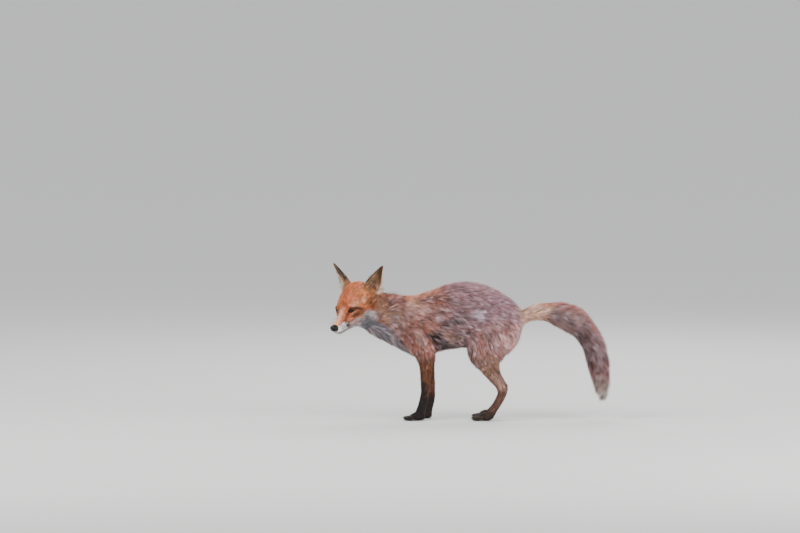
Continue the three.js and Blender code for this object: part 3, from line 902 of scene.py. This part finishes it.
class Skin:
    """The finished skin as arrays, with the coat that each of its vertices is to grow."""

    def __init__(self):
        self.obj = hide_surface()
        mesh = self.obj.data
        finder = NodeFinder()
        self.shape(finder)
        self.head, self.normals, self.nodes = to_head(self.places), normals_of(mesh), finder(self.places)
        self.fields, lie, colours = fields_at(self.nodes, self.places)
        self.colours = self.coloured(colours)
        bare = self.bared()
        self.comb(lie)
        self.crowd = self.fields["crowd"] * (1 - bare)
        colour_points(mesh, "coat", self.colours)
        self.faces = numbers_of(mesh.loops, "vertex_index", 1, np.int32).reshape(-1, 3)
        self.regions = np.array([region_of(n) for n in self.nodes])[self.faces[:, 0]]
        self.tree = BVHTree.FromPolygons([Vector(p) for p in self.places], self.faces.tolist())
        self.corners = point_tree(self.places, range(len(self.places)))

    def shape(self, finder):
        """Smooths the flesh, draws it in to leave room for the coat and shapes the face."""
        mesh = self.obj.data
        places = places_of(mesh)
        fields, _, _ = fields_at(finder(places), places)
        near_eyes = eye_nearness(to_head(places), 20)
        weight = (fields["smoothing"] * (1 - 0.9 * near_eyes))[:, None]
        places = evened(places, numbers_of(mesh.edges, "vertices", 2, np.int32), weight)
        set_places(mesh, places)
        room = coat_room(places, fields["depth"], near_eyes)
        set_places(mesh, places - normals_of(mesh) * (room * MM)[:, None])
        thin_out(self.obj, fields["smoothing"] > PLAIN)
        self.refine_face()
        self.places = face_shaped(places_of(mesh), normals_of(mesh))
        self.places[:, 2] = np.maximum(self.places[:, 2], 0.0)
        set_places(mesh, self.places)
        edit_whole(self.obj, bpy.ops.mesh.quads_convert_to_tris)
        bpy.ops.object.shade_smooth()

    def bared(self):
        """Paints what has no hairs (lids, lips, soles and the nose's seat) and says where it is."""
        edge = self.eye_opening()
        lips = 1 - smooth_step(mouth_distance(self.head), 1.5, 2.9)
        soles = smooth_step(-self.normals[:, 2], 0.5, 0.8)
        soles = soles * (1 - smooth_step(self.places[:, 2], 0.006, 0.012))
        at_nose = np.linalg.norm((self.head - NOSE_PAD) / NOSE_SIZE, axis=1)
        at_nose = 1 - smooth_step(at_nose, 1.08, 1.28)
        lids = smooth_step(edge, -0.42, -0.22)
        for where, colour in ((lids, LID_SKIN), (lips, LID_SKIN), (soles, PAD_SKIN), (at_nose, LID_SKIN)):
            self.colours = paint(self.colours, where, colour)
        self.colours = np.clip(self.colours, 0.001, 1)
        return np.maximum.reduce([smooth_step(edge, -0.24, -0.16), lips, soles, at_nose > 0.6])

    def refine_face(self):
        """Adds faces to the muzzle, and more and more towards the eyes."""
        for reach, centre in REFINED:
            head = to_head(places_of(self.obj.data))
            if centre:
                chosen = np.linalg.norm(head - centre, axis=1) < reach
            else:
                chosen = eye_nearness(head, reach) > 0
            refine(self.obj, chosen)

    def eye_opening(self):
        """How far inside an eye's opening each vertex is, in radians round the ball."""
        edge = np.full(len(self.head), FAR_OUTSIDE)
        for side in SIDES.values():
            inward, _, far = opening(self.head, side)
            edge = np.maximum(edge, np.where(far < EYE_RADIUS + 5, inward, FAR_OUTSIDE))
        return edge

    def ear_fringes(self):
        """For each ear: its long hairs inside the opening, as a share, and where they are."""
        for on_ear, rise, aside, facing, outward in ear_places(self.head, self.normals, self.nodes):
            inner = on_ear * smooth_step(facing, 0.0, 0.4) * (1 - smooth_step(rise, 0.35, 0.75))
            fringe = inner * np.maximum(1 - smooth_step(rise, 0.05, 0.35), smooth_step(-aside, 0.3, 0.7))
            yield fringe * smooth_step(rise, -0.02, 0.16), on_ear, rise, aside, outward

    def coloured(self, colours):
        """The colours of the coat: the face's clouds, the markings with their painted shade and highlights,
        and the grizzle.
        """
        places = self.places
        on_face = np.array([n == "head" for n in self.nodes]) * (1 - smooth_step(-self.head[:, 2], 10, 30))
        for colour, size, seed in FACE_CLOUDS:
            cloud = smooth_step(mottle(places, size, seed), 0.0, 0.6)
            colours = paint(colours, on_face * 0.45 * cloud, colour)
        colours = marks_and_painted_light(places, self.normals, colours, self.nodes)
        for fringe, _, rise, aside, _ in self.ear_fringes():
            where = fringe * smooth_step(rise, 0.08, 0.22) * (1 - smooth_step(-aside, 0.55, 0.75)) * 0.6
            colours = paint(colours, where, EAR_FRINGE)
        plain = 1 - smooth_step(self.fields["grizzle"], 0.12, 0.32)
        shaggy = 1 - plain
        cloudy = (1 - 0.65 * plain) * (0.75 * mottle(places, 24, 1) + 0.75 * mottle(places, 8, 2))
        grey = colours.mean(axis=1)[:, None]
        colours = grey + (colours - grey) * (1 + 0.46 * shaggy)[:, None]
        lift = shaggy * np.maximum(cloudy, 0)
        colours = paint(colours * np.exp(cloudy - 0.8 * lift)[:, None], 0.16 * lift, FLECK)
        return paint(colours, shaggy * 0.4 * smooth_step(mottle(places, 7, 4), 0.2, 0.5), FLECK)

    def comb(self, lie):
        """The way the hairs lie, and how long and deep they are where that turns or ends."""
        length, depth, crowd = (self.fields[key] for key in ("length", "depth", "crowd"))
        for side in SIDES.values():
            middle, faces, _, _ = eye_axes(side)
            out = self.head - middle
            near = 1 - smooth_step(np.linalg.norm(out, axis=1), EYE_RADIUS + 1, EYE_RADIUS + 9)
            lie = lie + 2.0 * near[:, None] * (unit(across(out, faces)) @ HEAD_TURN)
            length *= 1 - 0.55 * near
            depth *= 1 - 0.4 * near
            crowd *= 1 + 0.8 * near
        for fringe, on_ear, rise, _, outward in self.ear_fringes():
            length += 11 * fringe
            depth += 5 * fringe
            length *= 1 - 0.5 * on_ear * smooth_step(rise, 0.8, 1)
            lie = lie + 0.5 * fringe[:, None] * (outward @ HEAD_TURN)
        depth *= 1 + 0.35 * smooth_step(self.places[:, 0], 0.33, 0.37)
        lie = unit(lie)
        parting = smooth_step(np.abs(np.sum(lie * self.normals, axis=1)), 0.8, 0.97)
        length *= 1 - 0.5 * parting
        depth *= 1 - 0.5 * parting
        close = 1 - 0.12 * smooth_step(length, 9, 16)
        self.lie = unit(lie - self.normals * (close * np.sum(lie * self.normals, axis=1))[:, None])


# ---- The coat -----------------------------------------------------------------------------

PALE_BAND = "dabfc4"
DARK_TIP = "4a3733"
BANDED = 0.8  # the share of the hairs with a pale band, times how grizzled the coat is
DIPPED = 0.1  # the share of the hairs with dark tips
ROOT_SHADE = 0.4  # how much darker long hairs are at their roots
PALE_ABOVE = 0.11  # the brightness under which hairs have less and less of a pale band
# Where some hairs stand up: the place, its reach and how far they rise, in mm.
RUFFLED = (((-248, 4, 384), 22, 22), ((-250, 30, 382), 20, 16), ((-150, 15, 372), 26, 5))
# The ranges of the tufts' lengths, heights and widths, as shares of what their region has.
LENGTHS, HEIGHTS, WIDTHS = (0.7, 1.2), (0.4, 1.12), (0.7, 1.25)
STRAY = 0.16  # how far single tufts turn aside
LOCK = 22  # tufts to a lock
CLUMPING = 0.5  # how far the tips of a lock are drawn together
LOCK_REACH = 0.65  # how far apart those tips may be, as a share of a tuft's length
ROUNDNESS = 0.5  # how far a tuft is lit as a strand of its own and not as the body under it
STIFFNESS = 0.6  # how far hairs run straight on where the body curves away under them
MOST_LIFT = 4 * MM  # the most that this lifts their tips
GROUND_GAP = 0.3 * MM  # how far off the floor the lowest hairs end
TAIL_HUB = (np.array(TAIL_END) + (-5, 0, 50)) * MM  # on the brush's middle line, above its end
BRUSH_WAY = unit_way(np.array(TAIL_END) * MM - TAIL_HUB)
# A tuft is a thin spike with three corners round its root and one at its tip. Each corner at
# the root: how far it is along the tuft's flank and up from the body, as shares of its size.
ROOT_CORNERS = ((-1, -0.15), (1, -0.15), (0, 0.4))
SPIKE = np.array([(2, 1, 0), (0, 1, 3), (1, 2, 3), (2, 0, 3)])  # its faces, the second underneath
UV_PATCH = 0.003  # the size of each tuft in the unwrap
UV_SPIKE = np.array([(-0.4, -0.5), (0.4, -0.5), (0, -0.3), (0, 0.5)]) * UV_PATCH


def unwrapped(skin):
    """The skin's own unwrap: each face's corners, from projecting its islands flat."""
    mesh = skin.obj.data
    mesh.uv_layers.active = mesh.uv_layers.new(name="hide")
    edit_whole(skin.obj, bpy.ops.uv.smart_project, angle_limit=math.radians(66), island_margin=0.002)
    return numbers_of(mesh.uv_layers["hide"].uv, "vector", 2).reshape(-1, 3, 2).astype(float)


def sown(skin, regions, most, rng, thinned):
    """Where a coat piece's tufts stand: faces and shares of their corners, drawn by crowding."""
    chosen = np.flatnonzero(np.isin(skin.regions, regions))
    a, b, c = (skin.places[skin.faces[chosen, k]] for k in range(3))
    square_cm = np.linalg.norm(np.cross(b - a, c - a), axis=1) / 2 * 1e4
    wanted = square_cm * skin.crowd[skin.faces[chosen]].mean(axis=1) * thinned
    number = int(min(wanted.sum(), most * thinned))
    picked = chosen[np.searchsorted(np.cumsum(wanted) / wanted.sum(), rng.random(number))]
    u, v = rng.random((2, number))
    over = u + v > 1
    u, v = np.where(over, 1 - u, u), np.where(over, 1 - v, v)
    return picked, np.stack([1 - u - v, u, v], axis=1)


def nearest(tree, points):
    """The foot of each point on a surface, and the surface's normal there."""
    feet, ways = np.empty_like(points), np.empty_like(points)
    for i, point in enumerate(points):
        foot, way, _, _ = tree.find_nearest(Vector(point))
        feet[i], ways[i] = foot, way
    return feet, ways


def clear_of_eyes(tips):
    """Which tufts end clear of the openings of the eyes."""
    head = to_head(tips)
    clear = np.ones(len(tips), bool)
    for side in SIDES.values():
        edge, _, far = opening(head, side)
        clear &= (edge < -0.12) | (far > EYE_RADIUS + 6)
    return clear


class Tufts:
    """The tufts of one piece of the coat, as arrays."""

    def __init__(self, skin, regions, most, seed, thinned):
        self.skin, self.seed, self.rng = skin, seed, np.random.default_rng(seed)
        self.faces, self.shares = sown(skin, regions, most // len(SPIKE), self.rng, thinned)
        self.number = len(self.faces)
        self.roots, self.normals = self.at(skin.places), unit(self.at(skin.normals))
        self.sizes = {key: self.at(value) for key, value in skin.fields.items()}
        self.full = tail_fullness(self.roots)
        self.comb()

    def at(self, values):
        """The skin's values at the tufts' roots."""
        return np.einsum("ij,ij...->i...", self.shares, values[self.skin.faces[self.faces]])

    def heights(self):
        """How far off the skin the tufts' tips are."""
        rng, number = self.rng, self.number
        height = np.maximum(self.sizes["depth"], 1.4) * MM * rng.uniform(*HEIGHTS, number) ** 0.8
        height *= 0.5 + 0.5 * self.full
        for place, reach, rise in RUFFLED:
            near = 1 - smooth_step(np.linalg.norm(self.roots / MM - place, axis=1), reach * 0.3, reach)
            height += near * rise * MM * rng.random(number) ** 4
        return height

    def comb(self):
        """Lays the tufts along the body, with their tips drawn together in locks."""
        rng, number, roots = self.rng, self.number, self.roots
        length = self.sizes["length"] * MM * rng.uniform(*LENGTHS, number) * (0.5 + 0.5 * self.full)
        height = self.heights()
        self.width = self.sizes["width"] * MM * rng.uniform(*WIDTHS, number)
        leaders = rng.choice(number, max(number // LOCK, 1), replace=False)
        self.leader = found_in(point_tree(roots, leaders), roots)
        lie = unit(self.at(self.skin.lie))
        stray = rng.normal(0, STRAY, number) + 0.35 * mottle(roots, 30, self.seed + 3)
        way = unit(lie + np.cross(self.normals, lie) * stray[:, None])
        ends = roots + way * length[:, None]
        feet, self.tip_ways = nearest(self.skin.tree, ends)
        height += np.clip(STIFFNESS * np.sum((ends - feet) * self.tip_ways, axis=1), 0, MOST_LIFT)
        beyond = np.sum((ends - feet) * way, axis=1)
        tips = feet + self.tip_ways * height[:, None] + way * beyond[:, None]
        gap = tips[self.leader] - tips
        drawn = CLUMPING * (np.linalg.norm(gap, axis=1) < LOCK_REACH * length)
        tips = tips + gap * drawn[:, None]
        self.tips = tips - (0.5 * (1 - self.full))[:, None] * across(tips - TAIL_HUB, BRUSH_WAY)
        self.kept = clear_of_eyes(self.tips)
        sunk = np.clip(0.07 * self.sizes["depth"], 0.12, 0.6) * MM
        self.roots = roots - self.normals * sunk[:, None]
        self.middles = self.roots + way * (0.55 * length)[:, None]

    def spikes(self):
        """Each tuft's four corners, and the normals that light each corner of its faces."""
        along = unit(self.tips - self.roots)
        end = 1 - self.full
        alone = np.clip(3 * end, 0, 1)[:, None]
        round_tail = unit(across(self.roots - TAIL_HUB, along))
        lit = unit(self.normals + (round_tail - self.normals) * end[:, None])
        tip_lit = unit(self.tip_ways + (round_tail - self.tip_ways) * end[:, None])
        flank = unit(np.cross(self.normals + self.rng.normal(0, 0.08, (self.number, 3)), along))
        over = np.cross(along, flank)
        corners = np.empty((self.number, 4, 3))
        shading = np.empty_like(corners)
        for j, (sideways, upward) in enumerate(ROOT_CORNERS):
            away = flank * sideways + over * upward
            corners[:, j] = self.roots + away * (0.45 * self.width)[:, None]
            shading[:, j] = unit(across(lit, along) * (1 - alone) + (ROUNDNESS + alone) * unit(away))
        corners[:, 3] = self.tips
        corners[:, :, 2] = np.maximum(corners[:, :, 2], GROUND_GAP)
        shading[:, 3] = unit((across(tip_lit, along) + 0.3 * over) * (1 - alone) + along * alone)
        # the underside faces the other way, so its normals are mirrored
        shading = shading[:, SPIKE]
        down = np.maximum(np.sum(shading[:, 1] * over[:, None], axis=-1), 0)
        shading[:, 1] -= (2 * down)[..., None] * over[:, None]
        return corners, shading

    def tones(self):
        """Each tuft's colours, dark at the root and on some pale or dark at the tip."""
        rng, number, depth, grizzle = self.rng, self.number, self.sizes["depth"], self.sizes["grizzle"]
        lock = rng.normal(0, 1, number)[self.leader]
        own = rng.normal(0, 1, number)
        colours = self.skin.colours[found_in(self.skin.corners, self.middles)]
        bright = np.clip(colours.mean(axis=1) / PALE_ABOVE, 0.04, 1)
        tone = 0.68 * np.clip(self.sizes["length"] / 24, 0.2, 1) * lock + 0.22 * own
        lift = grizzle * np.maximum(tone, 0)
        full = paint(colours * np.exp(tone - 1.2 * lift)[:, None], 0.25 * lift, FLECK)
        flecked = smooth_step(lock, 1.2, 1.9) * np.clip(1.6 * grizzle, 0, 0.75)
        full = paint(full, flecked * bright, FLECK)
        kind = rng.random(number)
        pale = (0.25 + 0.3 * np.clip(depth / 8, 0, 1)) * bright
        ended = np.where((kind < BANDED * grizzle)[:, None], paint(full, pale, PALE_BAND), full)
        dark = full + 0.4 * (linear(DARK_TIP) - full)
        ended = np.where((kind > 1 - DIPPED)[:, None], dark, ended)
        rooted = full * (1 - ROOT_SHADE * np.clip(depth / 10, 0, 1))[:, None]
        return np.stack([rooted, rooted, rooted, ended], axis=1)


def coat_mesh(name, tufts, unwrap):
    """A piece of the coat as a mesh of closed spikes, coloured, lit and unwrapped."""
    corners, shading = tufts.spikes()
    tones = tufts.tones()
    kept = tufts.kept
    number = kept.sum()
    triangles = (SPIKE[None] + 4 * np.arange(number)[:, None, None]).reshape(-1, 3)
    mesh = bpy.data.meshes.new(name)
    mesh.vertices.add(number * 4)
    fill(mesh.vertices, "co", corners[kept])
    mesh.loops.add(len(triangles) * 3)
    fill(mesh.loops, "vertex_index", triangles, np.int32)
    mesh.polygons.add(len(triangles))
    fill(mesh.polygons, "loop_start", 3 * np.arange(len(triangles)), np.int32)
    fill(mesh.polygons, "use_smooth", np.ones(len(triangles)), bool)
    mesh.update(calc_edges=True)
    mesh.normals_split_custom_set(shading[kept].reshape(-1, 3).tolist())
    colour_points(mesh, "coat", tones[kept].reshape(-1, 3))
    spots = np.einsum("ij,ijk->ik", tufts.shares[kept], unwrap[tufts.faces[kept]])
    uvs = (spots[:, None] + UV_SPIKE[None]).reshape(-1, 2)[triangles.ravel()]
    layer = mesh.uv_layers.new(name="OFBake")
    fill(layer.uv, "vector", np.clip(uvs, 0, 1))
    return mesh


# ---- Settings -----------------------------------------------------------------------------


class FoxCoatSettings(bpy.types.PropertyGroup):
    fullness: bpy.props.FloatProperty(
        name="Fullness", description="Share of the full number of tufts", default=1.0, min=0.05, max=1.0,
        subtype="FACTOR",
    )
    seed: bpy.props.IntProperty(name="Seed", description="Starts every random draw of the coat", default=7)


class FoxStageSettings(bpy.types.PropertyGroup):
    distance: bpy.props.FloatProperty(
        name="Camera distance", description="From the camera to the fox", default=26.67, unit="LENGTH"
    )
    lens: bpy.props.FloatProperty(
        name="Lens", description="Focal length in mm, a long telephoto", default=400.0
    )
    elevation: bpy.props.FloatProperty(
        name="Elevation", description="How far the camera looks down", default=math.radians(4.0),
        subtype="ANGLE",
    )
    floor_colour: bpy.props.FloatVectorProperty(
        name="Floor", description="Colour of the studio floor", default=tuple(linear("d9d9d6")),
        size=3, subtype="COLOR",
    )


# ---- Operators ----------------------------------------------------------------------------

BUILT = {}  # what one step hands to the next
CORNEA_RISE = 0.6  # mm
# Each hollow of the nose leather: the ends of its line, its radius and its depth, in mm.
HOLLOWS = (
    ((-9, 5.0, -1.0), (-8, 7.0, 0.5), 3.0, 4.2),  # the nostril
    ((-8, 7.5, 0.0), (-4, 11, -2.0), 2.0, 2.2),  # the slit behind it
    ((-11, 0, -8), (-11, 0, 3), 1.3, 1.2),  # the groove between the nostrils
)
# A claw from root to tip in mm: how far ahead, how far up, and its radius.
CLAW = ((-3, 0, 1.9), (1.5, 0.4, 1.7), (4, -0.4, 1.3), (6.2, -2.0, 0.8), (7.8, -4.0, 0.2))
WHISKER_ROWS = 4
WHISKER_COLUMNS = 4
WHISKER_SEED = 23
WHISKER_SAG = np.array([0.35, 0, -0.3])  # the way they bend, on the head's axes
FLOOR_SIZE = 90
# Each light: where it stands, its width in metres and its power in watts.
LIGHTS = {
    "key_light": ((-2.4, -2.0, 3.0), 2.6, 120),
    "fill_light": ((2.4, -2.0, 1.6), 2.6, 88),
    "back_light": ((0.6, 2.4, 2.6), 2.4, 60),
}
LIGHTS_AIM = Vector((0, 0, 0.25))
CAMERA_AIM = Vector((-0.21, 0.0156, 0.4605))
SKY = "e4e6e8"
SKY_STRENGTH = 1.22
SENSOR_WIDTH = 36.0  # mm
NEAREST_SEEN = 0.5
FURTHEST_SEEN = 200


class FOX_OT_skin(bpy.types.Operator):
    """Build the one skin under the coat"""

    bl_idname = "fox.skin"
    bl_label = "Skin"

    def execute(self, context):
        skin = Skin()
        BUILT["skin"] = skin
        new_piece("skin", skin.obj.data, skin_material(), "coat_red", *FLESH)
        return {"FINISHED"}


class FOX_OT_coat(bpy.types.Operator):
    """Grow the tufts of the coat, one piece for each part of the body"""

    bl_idname = "fox.coat"
    bl_label = "Coat"

    def execute(self, context):
        skin, settings = BUILT["skin"], context.scene.fox_coat
        unwrap = unwrapped(skin)
        fur = fur_material()
        thinned = settings.fullness * 1.0
        for number, (name, (regions, slot, most)) in enumerate(COAT_PIECES.items()):
            tufts = Tufts(skin, regions, most * 1000, settings.seed + number, thinned)
            new_piece(name, coat_mesh(name, tufts, unwrap), fur, slot)
        return {"FINISHED"}


class FOX_OT_eyes(bpy.types.Operator):
    """Set the two eyes"""

    bl_idname = "fox.eyes"
    bl_label = "Eyes"

    def execute(self, context):
        material = eye_material()
        for word, side in SIDES.items():
            looks = unit_way([-0.82, side * 0.57, 0.0])
            sideways = unit_way(np.cross([0, 0, 1], looks))
            axes = np.array([looks, sideways, np.cross(looks, sideways)])
            obj = new_ball("fox_eye_" + word, 48, 32, EYE_RADIUS)
            mesh = obj.data
            own = places_of(mesh)
            own[:, 0] += CORNEA_RISE * smooth_step(own[:, 0], 0.72 * EYE_RADIUS, EYE_RADIUS)
            gaze = mesh.attributes.new("gaze", "FLOAT_VECTOR", "POINT")
            fill(gaze.data, "vector", own)
            set_places(mesh, from_head(eye_axes(side)[0] + own @ axes))
            new_piece(obj.name, mesh, material, "eye", "eye_" + word)
        return {"FINISHED"}


class FOX_OT_nose(bpy.types.Operator):
    """Shape the nose leather, with its nostrils and the groove between them"""

    bl_idname = "fox.nose"
    bl_label = "Nose"

    def execute(self, context):
        obj = new_ball("nose_leather", 64, 40, 1)
        mesh = obj.data
        own = places_of(mesh) * NOSE_SIZE
        own[:, 2] -= 0.18 * own[:, 0]
        own[:, 1] *= 1 - 0.16 * smooth_step(-own[:, 2], 0, 9)
        sided = one_sided(own)
        for start, end, radius, deep in HOLLOWS:
            far = from_line(sided, start, end)
            own = own * (1 - (deep / 10) * (1 - smooth_step(far, 0.2, radius)))[:, None]
        set_places(mesh, from_head(own + NOSE_PAD))
        new_piece(obj.name, mesh, nose_material(), "nose_skin", "nose")
        return {"FINISHED"}


def aimed(obj, way):
    """Turns a light or a camera to look a way."""
    obj.rotation_mode = "QUATERNION"
    obj.rotation_quaternion = way.to_track_quat("-Z", "Y")


def drawn_hairs(name, strands, sides):
    """Tapered strands, each a list of (place, radius), made as bevelled curves and joined."""
    curve = bpy.data.curves.new(name, "CURVE")
    curve.dimensions = "3D"
    curve.bevel_depth = 1.0
    curve.bevel_resolution = sides
    curve.use_fill_caps = True
    for strand in strands:
        line = curve.splines.new("POLY")
        line.points.add(len(strand) - 1)
        for point, (place, radius) in zip(line.points, strand):
            point.co = (*place, 1)
            point.radius = radius
    select_only(new_object(name, curve))
    bpy.ops.object.convert(target="MESH")
    bpy.ops.object.shade_smooth()
    return latest()


class FOX_OT_claws(bpy.types.Operator):
    """Set a claw in each toe"""

    bl_idname = "fox.claws"
    bl_label = "Claws"

    def execute(self, context):
        strands = []
        for middle, radii, place in toes():
            splay = math.radians(place * 6)
            root = Vector(middle + (-0.62 * radii[0], place * 0.8, 2.5)) * MM
            ahead = Vector((-math.cos(splay), math.sin(splay), 0))
            strand = []
            for out, drop, radius in CLAW:
                strand.append((root + ahead * out * MM + Vector((0, 0, drop * MM)), radius * MM))
            strands.append(strand)
        claws = drawn_hairs("claws", strands, 2)
        new_piece("claws", claws.data, claw_material(), "nose_skin")
        return {"FINISHED"}


class FOX_OT_whiskers(bpy.types.Operator):
    """Set the whiskers on the sides of the muzzle"""

    bl_idname = "fox.whiskers"
    bl_label = "Whiskers"

    def execute(self, context):
        rng = np.random.default_rng(WHISKER_SEED)
        strands = []
        for side in SIDES.values():
            for row, column in np.ndindex(WHISKER_ROWS, WHISKER_COLUMNS):
                root = np.array([-50 + 7.5 * column, side * (14.5 + 1.2 * column), -16 - 3.2 * row])
                long = 34 + 9 * column + rng.uniform(-5, 5)
                way = unit_way([0.25 + 0.16 * column, side * 0.9, 0.12 - 0.14 * row])
                way = way + rng.normal(0, 0.05, 3)
                strand = []
                for t in np.linspace(0, 1, 7):
                    place = root + way * long * t + WHISKER_SAG * long * 0.35 * t * t
                    strand.append((from_head(place), (0.24 * (1 - t) + 0.05) * MM))
                strands.append(strand)
        whiskers = drawn_hairs("whiskers", strands, 1)
        new_piece("whiskers", whiskers.data, whisker_material(), "nose_skin")
        return {"FINISHED"}


class FOX_OT_stage(bpy.types.Operator):
    """Set the floor, the lights and the camera"""

    bl_idname = "fox.stage"
    bl_label = "Stage"

    def execute(self, context):
        settings = context.scene.fox_stage
        bpy.ops.object.select_all(action="DESELECT")
        bpy.ops.mesh.primitive_plane_add(size=FLOOR_SIZE, location=(0, 0, 0))
        floor = latest()
        floor.name = "studio_floor"
        material, _, shader = material_of("painted_floor", 0.9, 0.2)
        shader.inputs["Base Color"].default_value = (*settings.floor_colour, 1)
        floor.data.materials.append(material)
        for name, (place, size, power) in LIGHTS.items():
            bpy.ops.object.light_add(type="AREA", location=place)
            light = latest()
            light.name = name
            light.data.shape, light.data.size, light.data.energy = "DISK", size, power
            aimed(light, LIGHTS_AIM - Vector(place))
            light.visible_camera = False
        world = bpy.data.worlds.new("pale_sky")
        world.use_nodes = True
        sky = world.node_tree.nodes["Background"]
        sky.inputs["Color"].default_value = rgba(SKY)
        sky.inputs["Strength"].default_value = SKY_STRENGTH
        context.scene.world = world

        back = Vector((0, -math.cos(settings.elevation), math.sin(settings.elevation)))
        bpy.ops.object.camera_add(location=CAMERA_AIM + back * settings.distance)
        camera = latest()
        aimed(camera, -back)
        camera.data.lens, camera.data.sensor_width = settings.lens, SENSOR_WIDTH
        camera.data.clip_start, camera.data.clip_end = NEAREST_SEEN, FURTHEST_SEEN
        context.scene.camera = camera
        return {"FINISHED"}


class FOX_PT_panel(bpy.types.Panel):
    """Everything that builds the fox, in order"""

    bl_label = "Red fox"
    bl_idname = "FOX_PT_panel"
    bl_space_type = "VIEW_3D"
    bl_region_type = "UI"
    bl_category = "Fox"

    def draw(self, context):
        for step in STEPS:
            self.layout.operator(step.bl_idname)
        for settings in (context.scene.fox_coat, context.scene.fox_stage):
            for name in settings.__annotations__:
                self.layout.prop(settings, name)


STEPS = (FOX_OT_skin, FOX_OT_coat, FOX_OT_eyes, FOX_OT_nose, FOX_OT_claws, FOX_OT_whiskers, FOX_OT_stage)
CLASSES = (FoxCoatSettings, FoxStageSettings, *STEPS, FOX_PT_panel)


def register():
    for cls in CLASSES:
        bpy.utils.register_class(cls)
    bpy.types.Scene.fox_coat = bpy.props.PointerProperty(type=FoxCoatSettings)
    bpy.types.Scene.fox_stage = bpy.props.PointerProperty(type=FoxStageSettings)


def unregister():
    del bpy.types.Scene.fox_coat
    del bpy.types.Scene.fox_stage
    for cls in reversed(CLASSES):
        bpy.utils.unregister_class(cls)


def main():
    register()
    bpy.ops.fox.skin()
    bpy.ops.fox.coat()
    bpy.ops.fox.eyes()
    bpy.ops.fox.nose()
    bpy.ops.fox.claws()
    bpy.ops.fox.whiskers()
    bpy.ops.fox.stage()


if __name__ == "__main__":
    main()
